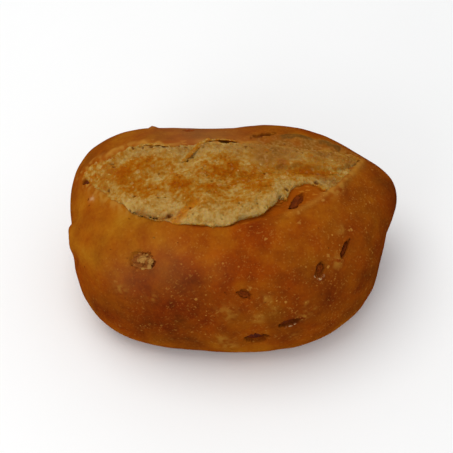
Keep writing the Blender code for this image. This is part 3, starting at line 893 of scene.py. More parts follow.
def forward_of_tear(points):
    """The way out of the tear at its front, seen from above."""
    x = points[:, 0]
    slope = crumb_front(x + 0.5) - crumb_front(x - 0.5)
    way = np.stack([slope, -np.ones_like(x), np.zeros_like(x)], 1)
    return way / np.linalg.norm(way, axis=1, keepdims=True)


crumb_x = crumb_plain[:, 0]
lean = LEAN * bell(crumb_in, 1.1, 1.1) * (1 - crumb_back) ** 2
lean *= after(crumb_in, -0.6, 0.8) * (0.7 + 0.6 * wave(crumb_plain, 5.0, 73.0))
lean *= after(crumb_x, -44.0, 8.0) * before(crumb_x, 34.0, 8.0) * (1 - 0.4 * soft_edge(crumb_plain))
crumb_rise = crumb_height - crumb_pores + fruit_dips(crumb_plain)
crumb_points = crumb_plain + outward(crumb_plain) * crumb_rise[:, None]
crumb_points += forward_of_tear(crumb_plain) * lean[:, None]
crumb_points = inside_box(crumb_points)
for vert, place in zip(crumb_ball.verts, crumb_points):
    vert.co = place
open_edges = [edge for edge in crumb_ball.edges if edge.is_boundary]
inner = crumb_ball.verts.new(INNER_POINT)
for edge in open_edges:
    crumb_ball.faces.new((edge.verts[1], edge.verts[0], inner))
bmesh.ops.recalc_face_normals(crumb_ball, faces=crumb_ball.faces[:])
crumb_points = np.vstack([crumb_points, [INNER_POINT]])
print("the crumb's highest corner in mm:", round(crumb_points[:, 2].max(), 2))

# %% [markdown]
# How the heat toasted the crumb
#
# The high parts of the crumb caught the heat and went orange. The front bulge tore late and stayed
# cream, and so did the strip along the back lip. A toast share from 0, cream, to 1, burnt orange, is
# worked out from the height, the distance to the edges and a few named blotches. At the crumb's very
# edge the same share is pushed up as painted shade, and deep places and pores get painted shade too.

# %% Toast share and painted shade
# x, y, half-length, half-width, amount
BLOTCHES = (
    (-47, 6, 6, 8, 0.02), (31, 8.5, 8, 3.6, -0.3), (-37, 3, 6, 6, 0.14), (-39.1, 4.8, 2.8, 6.5, 0.34),
    (-34.6, 12.2, 3.8, 2.2, 0.28), (-25.9, 9.4, 7.2, 3.4, 0.38), (-34.2, -2.3, 5.2, 2.3, 0.34),
    (-19.8, -2.9, 4, 2.8, 0.46), (-8.6, 2.5, 5.6, 3, 0.36), (-7.9, -4.5, 5, 2.2, 0.32),
    (-2.9, 9.8, 5, 2, 0.3), (-0.4, 6, 2.5, 2.2, 0.45), (3.2, -0.2, 4.6, 3.4, 0.38),
    (13.7, 0.1, 4.6, 3, 0.3), (16.6, 6.7, 2.4, 2.6, 0.5), (26.6, 2, 9, 2.2, 1),
    (-26, -10, 8, 3.6, -0.34), (34.2, 8.2, 7.5, 2.5, 0.24), (-31, 2.8, 6.2, 3.6, -0.24),
    (-15.5, 5.8, 3.8, 3.6, -0.14), (-14.3, -3.4, 2.4, 4.4, -0.26), (-8.6, 12.6, 5.6, 2.5, -0.06),
    (22.7, 7.3, 4.4, 3, -0.3), (20.2, -0.8, 3.6, 2.8, -0.24),
)


BLOTCH_SHARE = 0.82
TOAST_WAVES = ((0.10, (8.0, 5.5, 5.5), 41.0), (0.12, (3.8, 3.0, 3.0), 45.0), (0.12, 1.3, 47.0))


def toast_and_shade(points, height, crumb, to_back):
    """How toasted the crumb is at each corner, with painted shade at its very edge."""
    x = points[:, 0]
    cream_depth = 5.2 + 2.6 * bell(x, -2.0, 14.0) + 1.4 * wave(points, 8.0, 43.0)
    front = bell(crumb, 1.0, cream_depth) * (1 - to_back) ** 0.7
    front *= after(x, -49.0, 12.0) * (1 - 0.6 * after(x, 14.0, 10.0))
    back = bell(to_back, 1.0, 0.2) * before(np.abs(x + 16.0), 26.0, 12.0)
    level = 0.52 + waves(points, TOAST_WAVES) + 0.10 * (height - 1.0)
    level += BLOTCH_SHARE * ovals(points, BLOTCHES)
    level *= (1 - 0.88 * np.clip(front, 0, 1)) * (1 - 0.6 * back)
    # Painted shade: the crumb's outer edge, where it meets the skin, is pushed to a dark orange
    edge_shade = 0.85 * (1 - after(crumb, -0.3, 0.8)) * after(x, -46.0, 10.0)
    return np.clip(np.maximum(level, edge_shade), 0.0, 1.0)


# Painted shade where the crumb lies deep, duller and darker: x, y, half-length, half-width, share
SHADE_PLACES = (
    (33, -1.2, 5, 2.4, 0.9), (13.8, -10.2, 2, 1.6, 0.4), (16, 11, 7, 5.5, 0.3), (-28, 15.5, 10, 3, 0.9),
    (-12, 15.5, 6, 2.8, 0.9), (3, 13.5, 9, 3.6, 0.6), (42, 9, 4, 2, 0.5),
)

crumb_painted_shade = ovals(crumb_plain, SHADE_PLACES) * (0.9 + 0.5 * wave(crumb_plain, 2.2, 115.0))
crumb_toast_and_shade = toast_and_shade(crumb_plain, crumb_height, crumb_in, crumb_back)
crumb_fields = {
    "tan": tan_share(crumb_plain),
    "membrane": near_path(crumb_plain, MEMBRANE_PATH, MEMBRANE_WIDTHS),
    # The ledge's brown is partly the porous crumb's own tone, partly painted shade under the lobe
    "ledge": near_path(crumb_plain, LEDGE_PATH, (LEDGE_WIDTH * 1.2,) * 3, 2),
    "painted_shade": np.clip(crumb_painted_shade, 0, 1),
    "toast_and_shade": crumb_toast_and_shade,
    # Painted shade in the pores, the deeper the darker
    "pore_shade": np.clip(crumb_pores / 0.8, 0, 1),
    "hole_shade": crumb_hole_shade,
}
# The inner point is never seen, but it needs its numbers too
INNER_NUMBERS = {"toast_and_shade": 0.3, "pore_shade": 1.0}
for label, values in crumb_fields.items():
    crumb_fields[label] = np.append(values, INNER_NUMBERS.get(label, 0.0))
crumb_mesh = write_mesh(crumb_ball, crumb_points, "torn_crumb", crumb_fields)
torn_crumb = add_piece("torn_crumb", crumb_mesh, "loaf")
print("crumb faces:", len(torn_crumb.data.polygons), " mean toast:", round(float(crumb_toast_and_shade.mean()), 2))

# %% [markdown]
# Strands across the tear
#
# At the back of the tear a strand of dough still bridges the gap, and the thin edge of the back lip
# curled up beside it. Each is a thin twisted ribbon. A curve with a bevel would be even and round, so
# it is a small tube of its own whose section turns and thins along its path.

# %% Dough strands and curled edges
# for each: its keys as x, y and height over the plain form, its half-widths at the keys, and its toast
RIBBONS = {
    "dough_strand": (((-8.6, 20.4, -0.1), (-10.2, 18.6, 0.3), (-11.9, 16.3, 0.45), (-13.7, 13.9, 0.55),
                      (-15.6, 11.6, 0.45), (-17.4, 9.7, 0.2), (-19.2, 8.2, -0.4)),
                     (1.5, 1.25, 0.95, 0.8, 0.74, 0.66, 0.4), 0.62),
    "curled_edge_left": (((-36.6, 18.8, -0.5), (-34.0, 18.8, -0.1), (-31.6, 18.9, 0.1), (-29.0, 18.6, 0.1),
                          (-26.3, 17.8, 0.2), (-24.0, 17.1, 0.0), (-20.6, 16.6, -0.4)),
                         (0.4, 0.9, 0.7, 1.0, 0.7, 0.9, 0.4), 0.42),
    "curled_edge_right": (((-10.2, 19.4, 0.0), (-8.4, 20.1, 0.0), (-6.0, 20.6, -0.1), (-3.8, 20.6, -0.2),
                           (-0.9, 20.0, -0.2), (1.9, 19.2, -0.5)),
                          (0.9, 0.8, 0.7, 0.7, 0.8, 0.4), 0.5),
}
RIBBON_STEPS, RIBBON_SIDES, RIBBON_SMOOTHINGS = 60, 14, 6
RIBBON_THICKNESS, RIBBON_LEAST, RIBBON_TWIST, RIBBON_START, RIBBON_UNEVEN = 0.42, 0.05, 1.1, -0.3, 0.7


def on_crumb(x, y):
    """The plain crust above a place seen from above, found by walking along the ray's height."""
    heights = np.linspace(20.0, 89.0, 400)
    bearing = math.degrees(math.atan2(y - HEART[1], x - HEART[0]))
    rays = np.array([towards(bearing, h) for h in heights])
    points = plain_crust(rays)
    return points[np.argmin(np.hypot(points[:, 0] - x, points[:, 1] - y))]


def add_ribbon(name, keys, half_widths, toasted):
    """A twisted tube along its keys, closed at both ends."""
    tops = np.array([on_crumb(x, y) for x, y, _ in keys])
    keys = tops + outward(tops) * np.array([height for *_, height in keys])[:, None]
    at = np.linspace(0, len(keys) - 1, RIBBON_STEPS)
    path = np.stack([np.interp(at, range(len(keys)), keys[:, i]) for i in range(3)], 1)
    for _ in range(RIBBON_SMOOTHINGS):
        path[1:-1] = (path[:-2] + 2 * path[1:-1] + path[2:]) / 4
    half = np.interp(at, range(len(keys)), half_widths)
    made = bmesh.new()
    rings, points, pale = [], [], []
    for step in range(RIBBON_STEPS):
        ahead = path[min(step + 1, RIBBON_STEPS - 1)] - path[max(step - 1, 0)]
        ahead /= np.linalg.norm(ahead)
        up = outward(path[step][None, :])[0]
        side = np.cross(ahead, up)
        side /= np.linalg.norm(side)
        up = np.cross(side, ahead)
        twist = RIBBON_START + RIBBON_TWIST * step / RIBBON_STEPS
        ring = []
        for spoke in range(RIBBON_SIDES):
            turn = 2 * math.pi * spoke / RIBBON_SIDES
            flat = half[step] * math.cos(turn)
            thick = RIBBON_THICKNESS * half[step] * math.sin(turn) + RIBBON_LEAST
            offset = side * (flat * math.cos(twist) - thick * math.sin(twist))
            offset += up * (flat * math.sin(twist) + thick * math.cos(twist))
            uneven = noise.noise(Vector(path[step] + offset * 2) * 1.3)
            place = path[step] + offset * (1 + RIBBON_UNEVEN * uneven)
            ring.append(made.verts.new(place))
            points.append(place)
            pale.append(0.5 + 0.5 * math.sin(turn))
        rings.append(ring)
    for first, second in zip(rings, rings[1:]):
        for spoke in range(RIBBON_SIDES):
            after = (spoke + 1) % RIBBON_SIDES
            made.faces.new((first[spoke], first[after], second[after], second[spoke]))
    made.faces.new(rings[0][::-1])
    made.faces.new(rings[-1])
    bmesh.ops.recalc_face_normals(made, faces=made.faces[:])
    fields = dict.fromkeys(("pore_shade", "hole_shade", "membrane", "ledge", "painted_shade"), np.zeros(len(pale)))
    # Painted light and shade: the upper side of each ribbon is less toasted, so lighter, and the lower side
    # darker
    fields["tan"], fields["toast_and_shade"] = np.full(len(pale), 0.1), toasted + 0.15 - 0.3 * np.array(pale)
    mesh = write_mesh(made, inside_box(np.array(points)), name, fields)
    return add_piece(name, mesh, "loaf")


ribbons = [add_ribbon(name, *row) for name, row in RIBBONS.items()]
print("ribbon faces:", sum(len(ribbon.data.polygons) for ribbon in ribbons))

# %% [markdown]
# The raisins
#
# A baked raisin is a wrinkled oval, and only its top shows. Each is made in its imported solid's own
# axes. The part that faces out is pressed flat, because the crust held it down, and folds run over it.
# Under thin skin it looks brown, and in an open hole it looks nearly black.

# %% Wrinkled fruit in the pockets


def stand(name, local):
    """Moves a fruit's corners from its own axes to its place in the roll."""
    place, along, across, out = AXES[name]
    return inside_box(place - out * FRUIT[name][SUNK] + local @ np.stack([along, across, out]))


def add_fruit(number, name):
    half, sunk, top, skin = (FRUIT[name][column] for column in (HALF_SIZES, SUNK, TOP, SKIN))
    seed = 2.3 * number
    made = ball(FRUIT_STEPS)
    unit = rays_of(made.verts)
    folds = 0.22 * np.abs(wave(unit, (0.75, 0.42, 0.6), seed)) + 0.07 * np.abs(wave(unit, 0.22, seed + 3))
    local = unit * (1.03 - folds)[:, None] * np.array(half)
    local[:, 2] *= np.where(local[:, 2] > 0, max((top + sunk) / half[2], 0.1), 1.0)
    fields = {"skin": np.full(len(unit), skin), "fold_shade": np.clip(folds / 0.25, 0, 1)}
    mesh = write_mesh(made, stand(name, local), name + "_dressed", fields)
    return add_piece(name + "_dressed", mesh, name)


raisins = [add_fruit(n, name) for n, name in enumerate(FRUIT, start=1) if name != "nut_piece"]
print("raisins:", len(raisins))

# %% [markdown]
# The piece of nut
#
# The nut is broken, so it is craggy and not folded: a few blunt lumps with deep clefts between them,
# pale where it broke and brown where its skin is left. Ridged noise cuts the clefts.

# %% A broken nut piece


def add_nut():
    name = "nut_piece"
    half, sunk, top = (FRUIT[name][column] for column in (HALF_SIZES, SUNK, TOP))
    made = ball(NUT_STEPS)
    unit = rays_of(made.verts)
    lumps, clefts = wave(unit, 0.62, 5.1), ridges(unit, 0.50, 9.7)
    body = 0.97 + 0.13 * lumps - 0.17 * clefts**3 + 0.05 * wave(unit, 0.16, 3.3)
    local = unit * body[:, None] * np.array(half)
    local[:, 0] *= np.where(local[:, 0] < 0, 1.08, 0.86)
    local[:, 2] *= np.where(local[:, 2] > 0, (top + sunk) / half[2] * 1.15, 1.0)
    fields = {"cleft": np.clip(clefts**2, 0, 1), "lump": 0.5 + 0.5 * lumps}
    mesh = write_mesh(made, stand(name, local), "nut_dressed", fields)
    return add_piece("nut_dressed", mesh, name)


nut = add_nut()
print("nut faces:", len(nut.data.polygons))

# %% [markdown]
# A small kit for materials
#
# A material is a graph of nodes. Two helpers keep the graphs short: one adds a node and wires its
# inputs, and one turns a colour as a painter names it, from 0 to 255, into the light values that the
# renderer needs.

# %% Node and colour helpers


def add(tree, kind, inputs=None, **settings):
    """Adds a shader node. Each input is a plain value or another node's output."""
    made = tree.nodes.new("ShaderNode" + kind)
    for key, value in settings.items():
        setattr(made, key, value)
    for key, value in (inputs or {}).items():
        if isinstance(value, bpy.types.NodeSocket):
            tree.links.new(value, made.inputs[key])
        else:
            made.inputs[key].default_value = value
    return made


STUDIO_SHARE = 0.77


def paint(red, green, blue, share=STUDIO_SHARE):
    """A colour as a painter names it, as light values under the studio's light."""
    parts = [c / 255.0 for c in (red, green, blue)]
    light = [c / 12.92 if c <= 0.04045 else ((c + 0.055) / 1.055) ** 2.4 for c in parts]
    return (*[share * c for c in light], 1.0)


def calc(tree, operation, first, second=0.0, third=0.0):
    return add(tree, "Math", {0: first, 1: second, 2: third}, operation=operation).outputs[0]


def times(tree, first, second):
    return calc(tree, "MULTIPLY", first, second)


def times_plus(tree, first, second, third):
    return calc(tree, "MULTIPLY_ADD", first, second, third)


def blend_colour(tree, amount, first, second):
    return add(tree, "Mix", {0: amount, 6: first, 7: second}, data_type="RGBA").outputs[2]


def cover(tree, colour, mask, over, share=1.0):
    """Lays a colour over another where a mask, or the field of that name, says so."""
    mask = field(tree, mask) if isinstance(mask, str) else mask
    return blend_colour(tree, mask if share == 1.0 else times(tree, mask, share), colour, over)


def ramp(tree, amount, stops):
    made = add(tree, "ValToRGB", {0: amount})
    made.color_ramp.elements.remove(made.color_ramp.elements[1])
    made.color_ramp.elements[0].position = stops[0][0]
    made.color_ramp.elements[0].color = stops[0][1]
    for position, colour in stops[1:]:
        made.color_ramp.elements.new(position).color = colour
    return made.outputs[0]


def field(tree, name):
    return add(tree, "Attribute", attribute_name=name, attribute_type="GEOMETRY").outputs["Fac"]


print("painter's white in light values:", paint(255, 255, 255)[0])

# %% [markdown]
# Effects that several finishes share
#
# Grain, mottling and specks are on the crust, the crumb and the fruit alike, only with other sizes. So
# each is a node group that is built once, with its spacing in millimetres as an input. A group only
# gives out masks and heights. The shader itself stays in each material.

# %% Shared groups: grain, mottle and specks


def new_group(name, inputs, outputs, kind="NodeSocketFloat"):
    group = bpy.data.node_groups.new(name, "ShaderNodeTree")
    for label, value in inputs.items():
        made = group.interface.new_socket(label, in_out="INPUT", socket_type="NodeSocketFloat")
        made.default_value = value
    for label in outputs:
        group.interface.new_socket(label, in_out="OUTPUT", socket_type=kind)
    return group, group.nodes.new("NodeGroupInput"), group.nodes.new("NodeGroupOutput")


def in_spacings(group, start, place=None):
    """A place on the object, counted in the group's own spacing."""
    if place is None:
        place = add(group, "TexCoord").outputs["Object"]
    per_metre = calc(group, "DIVIDE", 1000.0, start.outputs["Spacing"])
    return add(group, "VectorMath", {0: place, 3: per_metre}, operation="SCALE").outputs[0]


grain, start, end = new_group("Grain", {"Spacing": 1.0, "Roughen": 0.6}, ["Height"])
wide = add(grain, "TexNoise", {"Vector": in_spacings(grain, start), "Scale": 1.0, "Detail": 4.0,
                               "Roughness": start.outputs["Roughen"]})
grain.links.new(wide.outputs[0], end.inputs["Height"])

mottle, start, end = new_group("Mottle", {"Spacing": 5.0, "Contrast": 2.0}, ["Amount"])
cloud = add(mottle, "TexNoise", {"Vector": in_spacings(mottle, start), "Scale": 1.0, "Detail": 3.0})
spread = times_plus(mottle, calc(mottle, "SUBTRACT", cloud.outputs[0], 0.5), start.outputs["Contrast"], 0.5)
mottle.links.new(add(mottle, "Clamp", {0: spread}).outputs[0], end.inputs["Amount"])

specks_inputs = {"Spacing": 2.0, "Size": 0.3, "Share": 0.4, "Stretch": 1.0, "Turn": 0.0}
specks, start, end = new_group("Specks", specks_inputs, ["Mask"])
turned = {"Vector": add(specks, "TexCoord").outputs["Object"], "Angle": start.outputs["Turn"]}
place = add(specks, "VectorRotate", turned, rotation_type="Y_AXIS")
stretch = start.outputs["Stretch"]
pulled = add(specks, "CombineXYZ", {0: 1.0, 1: stretch, 2: stretch})
shaped = add(specks, "VectorMath", {0: place.outputs[0], 1: pulled.outputs[0]}, operation="MULTIPLY")
shaped = in_spacings(specks, start, shaped.outputs[0])
wobble = add(specks, "TexNoise", {"Vector": shaped, "Scale": 2.6, "Detail": 1.0}).outputs["Color"]
ragged = {0: wobble, 1: (0.5, 0.5, 0.5), 2: shaped}
shaped = add(specks, "VectorMath", ragged, operation="MULTIPLY_ADD").outputs[0]
cells = add(specks, "TexVoronoi", {"Vector": shaped, "Scale": 1.0}, feature="F1")
dice = add(specks, "SeparateColor", {0: cells.outputs["Color"]})
size = times(specks, start.outputs["Size"], dice.outputs[0])
radius = calc(specks, "DIVIDE", size, start.outputs["Spacing"])
inside = calc(specks, "SUBTRACT", radius, cells.outputs["Distance"])
soft = add(specks, "MapRange", {0: inside, 1: -0.03, 2: 0.05}).outputs[0]
picked = calc(specks, "LESS_THAN", dice.outputs[1], start.outputs["Share"])
specks.links.new(times(specks, soft, picked), end.inputs["Mask"])

flecks_of, start, end = new_group("Irregular flecks", {"Spacing": 1.0, "Cover": 0.3}, ["Mask"])
islands = add(flecks_of, "TexNoise", {"Vector": in_spacings(flecks_of, start), "Scale": 1.0, "Detail": 2.0,
                                      "Roughness": 0.6, "Distortion": 0.8})
floor_level = calc(flecks_of, "SUBTRACT", 0.76, times(flecks_of, start.outputs["Cover"], 0.3))
above = calc(flecks_of, "SUBTRACT", islands.outputs[0], floor_level)
soft = add(flecks_of, "MapRange", {0: above, 1: 0.0, 2: 0.05}).outputs[0]
flecks_of.links.new(soft, end.inputs["Mask"])

tan_skin, start, end = new_group("Tan skin", {"Spacing": 1.2}, ["Colour"], "NodeSocketColor")
cloud = add(tan_skin, "TexNoise", {"Vector": in_spacings(tan_skin, start), "Scale": 1.0, "Detail": 3.0})
TAN_STOPS = ((0.35, paint(142, 86, 24)), (0.55, paint(158, 103, 40)), (0.7, paint(178, 130, 68)))
tan_skin.links.new(ramp(tan_skin, cloud.outputs[0], TAN_STOPS), end.inputs["Colour"])


def use(tree, group, inputs):
    return add(tree, "Group", inputs, node_tree=group).outputs[0]


def cloudy(tree, spacing, contrast):
    return use(tree, mottle, {"Spacing": spacing, "Contrast": contrast})


def speckle(tree, spacing, size, share, stretch=1.0, turn=0.0):
    """A mask of round or long specks. Their spacing and size are in millimetres."""
    values = {"Spacing": spacing, "Size": size, "Share": share, "Stretch": stretch, "Turn": turn}
    return use(tree, specks, values)


print("shared groups:", [g.name for g in bpy.data.node_groups])

# %% [markdown]
# The crust's finish
#
# The browned skin is a gold and a red colour scale that are mixed by the two browning numbers. Over
# them lie soft mottling, pale flecks of bran and starch, short pale strokes where the skin stretched,
# and a few small pits with painted shade. The skin has no specular reflection, since bread has no
# varnish, and its roughness is middling. Its faint sheen, the glints on two rims and the shade in the
# gaps round the fruit are painted into its colour.

# %% Crust material


def new_material(name):
    made = bpy.data.materials.new(name)
    made.use_nodes = True
    tree = made.node_tree
    tree.nodes.clear()
    shader = add(tree, "BsdfPrincipled")
    output = add(tree, "OutputMaterial")
    tree.links.new(shader.outputs[0], output.inputs["Surface"])
    return made, tree, shader


GOLD_STOPS = ((0.0, paint(190, 134, 42)), (0.3, paint(172, 106, 20)), (0.55, paint(148, 80, 14)),
              (0.8, paint(124, 62, 13)), (1.0, paint(92, 44, 12)))
RED_STOPS = ((0.0, paint(186, 112, 20)), (0.3, paint(174, 85, 11)), (0.55, paint(152, 64, 9)),
             (0.8, paint(122, 44, 9)), (1.0, paint(90, 30, 8)))


def plug_in(tree, shader, colour, rough, specular, height, bump):
    """Gives a shader its colour, its roughness and a bump of some strength and distance."""
    strength, distance = bump
    bumped = add(tree, "Bump", {"Strength": strength, "Distance": distance, "Height": height})
    tree.links.new(colour, shader.inputs["Base Color"])
    tree.links.new(rough, shader.inputs["Roughness"])
    tree.links.new(bumped.outputs[0], shader.inputs["Normal"])
    shader.inputs["Specular IOR Level"].default_value = specular


def dress_crust():
    made, tree, shader = new_material("browned_crust")
    clouds, small, patchy = cloudy(tree, 4.5, 2.2), cloudy(tree, 1.1, 2.2), cloudy(tree, 9.0, 3.0)
    brown = times_plus(tree, small, 0.12, times_plus(tree, clouds, 0.16, field(tree, "brown")))
    brown = calc(tree, "SUBTRACT", brown, 0.14)
    gold, red = ramp(tree, brown, GOLD_STOPS), ramp(tree, brown, RED_STOPS)
    colour = blend_colour(tree, field(tree, "red"), gold, red)
    pulled = speckle(tree, 2.4, 1.5, 0.5, 3.0)
    thin_colour = blend_colour(tree, pulled, paint(160, 76, 9), paint(186, 110, 30))
    colour = cover(tree, colour, "stretch", thin_colour, 0.8)
    colour = cover(tree, colour, "tan", use(tree, tan_skin, {"Spacing": 1.2}))
    colour = cover(tree, colour, "thin", paint(190, 126, 44))
    colour = cover(tree, colour, "crumby", paint(186, 128, 48), 0.7)
    colour = cover(tree, colour, "blister", paint(174, 116, 40), 0.8)
    shown = times(tree, field(tree, "fruit_below"), times_plus(tree, small, 0.5, 0.45))
    colour = cover(tree, colour, shown, paint(104, 68, 26))
    flecks = speckle(tree, 3.1, 0.78, 0.21)
    grit = use(tree, flecks_of, {"Spacing": 0.9, "Cover": 0.42})
    strokes, more = speckle(tree, 2.4, 1.0, 0.32, 4.0, 0.75), speckle(tree, 2.7, 1.0, 0.28, 4.0, -0.9)
    sparks = speckle(tree, 1.3, 0.42, 0.24)
    pale = times(tree, flecks, 0.6)
    for mask, share in ((strokes, 0.3), (more, 0.3), (grit, 0.38), (sparks, 0.6)):
        pale = calc(tree, "MAXIMUM", pale, times(tree, mask, share))
    dense = times(tree, times_plus(tree, patchy, 0.85, 0.15), field(tree, "flecky"))
    colour = cover(tree, colour, times(tree, pale, dense), paint(214, 152, 66))
    # Painted shade in the crust's tiny pits, which the bump also dips
    pores = speckle(tree, 2.9, 0.5, 0.2)
    colour = cover(tree, colour, pores, paint(76, 30, 6), 0.5)
    # Painted sheen: the skin has no specular, so its sheen is a pale colour laid over it
    colour = cover(tree, colour, "painted_sheen", paint(164, 118, 76))
    # Painted shade in the gaps round the fruit
    colour = cover(tree, colour, "painted_rim_shade", paint(58, 20, 6), 0.85)
    # Painted highlights on the fruit rims and the left end
    colour = cover(tree, colour, "painted_glint", paint(224, 188, 138))
    rough = times_plus(tree, field(tree, "blister"), 0.3, times_plus(tree, small, 0.2, 0.38))
    height = times_plus(tree, flecks, 0.5, use(tree, grain, {"Spacing": 0.9, "Roughen": 0.6}))
    height = times_plus(tree, clouds, 0.8, times_plus(tree, pores, -0.9, height))
    plug_in(tree, shader, colour, rough, 0.0, height, (0.8, 0.00016))
    return made


crust.data.materials.append(dress_crust())
print("crust finish:", crust.data.materials[0].name)

# %% [markdown]
# The crumb's finish
#
# Crumb is matte, and its few glints are pale specks painted into its colour. Its colour runs from
# cream to burnt orange with the toast number, and the pores and hollows get painted shade, darker and
# more olive, because light that goes into foam comes back browner. A little light also goes through
# it, which softens the small shadows.

# %% Crumb material
TOAST_STOPS = ((0.0, paint(197, 160, 90)), (0.3, paint(184, 135, 58)), (0.45, paint(177, 119, 36)),
               (0.65, paint(171, 99, 13)), (1.0, paint(161, 80, 6)))


def dress_crumb():
    made, tree, shader = new_material("torn_crumb")
    # The toast share also carries painted shade at the crumb's edge and painted light and shade on the
    # ribbons
    toasted = field(tree, "toast_and_shade")
    clouds, small = cloudy(tree, 2.6, 4.0), cloudy(tree, 1.2, 3.6)
    level = times_plus(tree, small, 0.3, times_plus(tree, clouds, 0.22, toasted))
    colour = ramp(tree, calc(tree, "SUBTRACT", level, 0.26), TOAST_STOPS)
    flakes = use(tree, flecks_of, {"Spacing": 0.9, "Cover": 0.36})
    fluffy = calc(tree, "SUBTRACT", 1.0, times(tree, toasted, 0.8))
    pale = times(tree, calc(tree, "MAXIMUM", speckle(tree, 1.9, 0.9, 0.4), flakes), fluffy)
    colour = cover(tree, colour, pale, paint(220, 184, 114), 0.5)
    colour = cover(tree, colour, "tan", use(tree, tan_skin, {"Spacing": 1.2}))
    drawn = blend_colour(tree, small, paint(176, 96, 9), paint(200, 126, 24))
    colour = cover(tree, colour, "membrane", drawn, 0.85)
    # Partly the ledge's own porous tone, partly painted shade under the front lobe
    colour = cover(tree, colour, "ledge", paint(150, 90, 26), 0.8)
    # Painted shade in the deep places of the crumb
    colour = cover(tree, colour, "painted_shade", paint(152, 104, 48), 0.7)
    # Painted glints: small pale specks on the matte crumb
    colour = cover(tree, colour, speckle(tree, 1.4, 0.4, 0.12), paint(224, 184, 108), 0.5)
    pores = speckle(tree, 1.9, 0.6, 0.3)
    # Painted shade in the pores of the geometry and in the small pits of the bump
    pore_shade = calc(tree, "MAXIMUM", times(tree, field(tree, "pore_shade"), 0.45), times(tree, pores, 0.12))
    colour = cover(tree, colour, pore_shade, paint(122, 76, 14))
    # Painted shade, dark red-brown, inside the named holes
    colour = cover(tree, colour, "hole_shade", paint(114, 50, 10), 0.75)
    height = times_plus(tree, pores, -0.6, use(tree, grain, {"Spacing": 0.7, "Roughen": 0.7}))
    plug_in(tree, shader, colour, times_plus(tree, small, 0.2, 0.55), 0.0, height, (1.0, 0.0003))
    shader.inputs["Subsurface Weight"].default_value = 0.6
    shader.inputs["Subsurface Radius"].default_value = (1.0, 0.5, 0.15)
    shader.inputs["Subsurface Scale"].default_value = 0.0016
    return made


crumb_finish = dress_crumb()
torn_crumb.data.materials.append(crumb_finish)
for ribbon in ribbons:
    ribbon.data.materials.append(crumb_finish)
print("crumb finish:", crumb_finish.name)

# %% [markdown]
# The fruit's finish
#
# A raisin's skin is dark red-brown and shiny where it bulges. Where baked skin covers it, it takes a
# brown like the crust. The nut is pale where it broke and brown in its clefts.

# %% Raisin and nut materials


def dress_raisins():
    made, tree, shader = new_material("raisin_skin")
    small = cloudy(tree, 1.4, 2.4)
    bare = blend_colour(tree, small, paint(62, 18, 4), paint(104, 36, 8))
    covered = blend_colour(tree, small, paint(134, 56, 8), paint(160, 76, 14))
    colour = cover(tree, bare, "skin", covered)
    # Painted shade in the creases of the folds
    colour = cover(tree, colour, "fold_shade", paint(58, 18, 4), 0.3)
    fine = use(tree, grain, {"Spacing": 0.6, "Roughen": 0.5})
    plug_in(tree, shader, colour, times_plus(tree, small, 0.25, 0.22), 0.02, fine, (0.7, 0.0002))
    return made


NUT_STOPS = ((0.25, paint(140, 76, 24)), (0.5, paint(152, 88, 32)), (0.75, paint(178, 126, 60)))


def dress_nut():
    made, tree, shader = new_material("nut_flesh")
    small = cloudy(tree, 1.2, 2.8)
    lump = times_plus(tree, small, 0.5, calc(tree, "SUBTRACT", field(tree, "lump"), 0.25))
    colour = cover(tree, ramp(tree, lump, NUT_STOPS), "cleft", paint(112, 58, 14), 0.35)
    fine = use(tree, grain, {"Spacing": 0.5, "Roughen": 0.6})
    plug_in(tree, shader, colour, times_plus(tree, small, 0.2, 0.4), 0.04, fine, (0.8, 0.0002))
    return made


raisin_finish = dress_raisins()
for raisin in raisins:
    raisin.data.materials.append(raisin_finish)
nut.data.materials.append(dress_nut())
print("finishes:", [m.name for m in bpy.data.materials if m.users])

# %% [markdown]
# Camera
#
# The camera looks down on the roll from the front, by about fifty degrees, through a longish lens, so
# that the roll keeps its proportions. It is placed by two angles and a distance from the point that it
# looks at.

# %% Place the camera
AIM = np.array([-3.38, 0.45, 30.0])
CAMERA_AROUND, CAMERA_ABOVE, CAMERA_DISTANCE, CAMERA_LENS = -4.3, 51.3, 450.0, 95.84


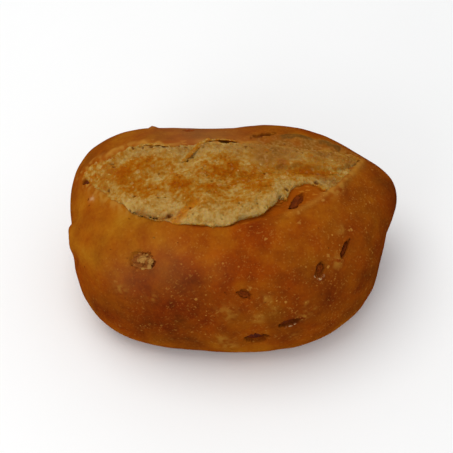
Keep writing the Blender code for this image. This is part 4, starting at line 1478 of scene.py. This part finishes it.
def add_camera():
    data = bpy.data.cameras.new("camera")
    data.lens, data.sensor_width = CAMERA_LENS, 36.0
    data.clip_start, data.clip_end = 0.01, 20.0
    made = put_in_scene("camera", data)
    around, above = math.radians(CAMERA_AROUND), math.radians(CAMERA_ABOVE)
    level = math.cos(above)
    back = Vector((math.sin(around) * level, -math.cos(around) * level, math.sin(above)))
    made.location = Vector(AIM * MM) + back * CAMERA_DISTANCE * MM
    made.rotation_euler = back.to_track_quat("Z", "Y").to_euler()
    return made


camera = add_camera()
bpy.context.scene.camera = camera
print("camera at", [round(c, 3) for c in camera.location])

# %% [markdown]
# Floor and light
#
# The roll lies on a plain pale floor, which throws some light back up under its sides. A broad light
# above and a little to the left does most of the work, and a soft window at the front left lights the
# shoulder. The crust has no specular, so its faint sheen there is painted into its colour. The rest is
# an even pale sky.

# %% Build the studio
LIGHTS_AIM = Vector((0, 0, 0.03))
FLOOR_GAP = 0.00002


def add_area(name, place, size, power, colour):
    data = bpy.data.lights.new(name, "AREA")
    data.shape, data.size, data.energy, data.color = "DISK", size, power, colour
    made = put_in_scene(name, data)
    made.location = place
    made.rotation_euler = (Vector(place) - LIGHTS_AIM).to_track_quat("Z", "Y").to_euler()
    return made


floor_mesh = bpy.data.meshes.new("floor")
floor_mesh.from_pydata([(-4, -4, 0), (4, -4, 0), (4, 4, 0), (-4, 4, 0)], [], [(0, 1, 2, 3)])
floor = put_in_scene("floor", floor_mesh)
floor.location.z = -FLOOR_GAP
floor_finish, floor_tree, floor_shader = new_material("pale_floor")
paper = cloudy(floor_tree, 40.0, 0.6)
floor_colour = blend_colour(floor_tree, paper, paint(246, 246, 245, 1.0), paint(249, 249, 248, 1.0))
floor_tree.links.new(floor_colour, floor_shader.inputs["Base Color"])
floor_shader.inputs["Roughness"].default_value = 0.9
floor_shader.inputs["Specular IOR Level"].default_value = 0.1
floor_mesh.materials.append(floor_finish)

world = bpy.data.worlds.new("studio")
bpy.context.scene.world = world
world.use_nodes = True
sky = world.node_tree.nodes["Background"]
sky.inputs["Color"].default_value = (0.95, 0.97, 1.0, 1.0)
sky.inputs["Strength"].default_value = 0.66
add_area("overhead", (-0.22, 0.10, 0.9), 0.8, 3.8, (1.0, 0.98, 0.95))
add_area("window", (-0.51, -0.72, 0.48), 0.45, 1.7, (0.98, 0.96, 0.95))
bpy.context.scene.view_settings.view_transform = "Standard"
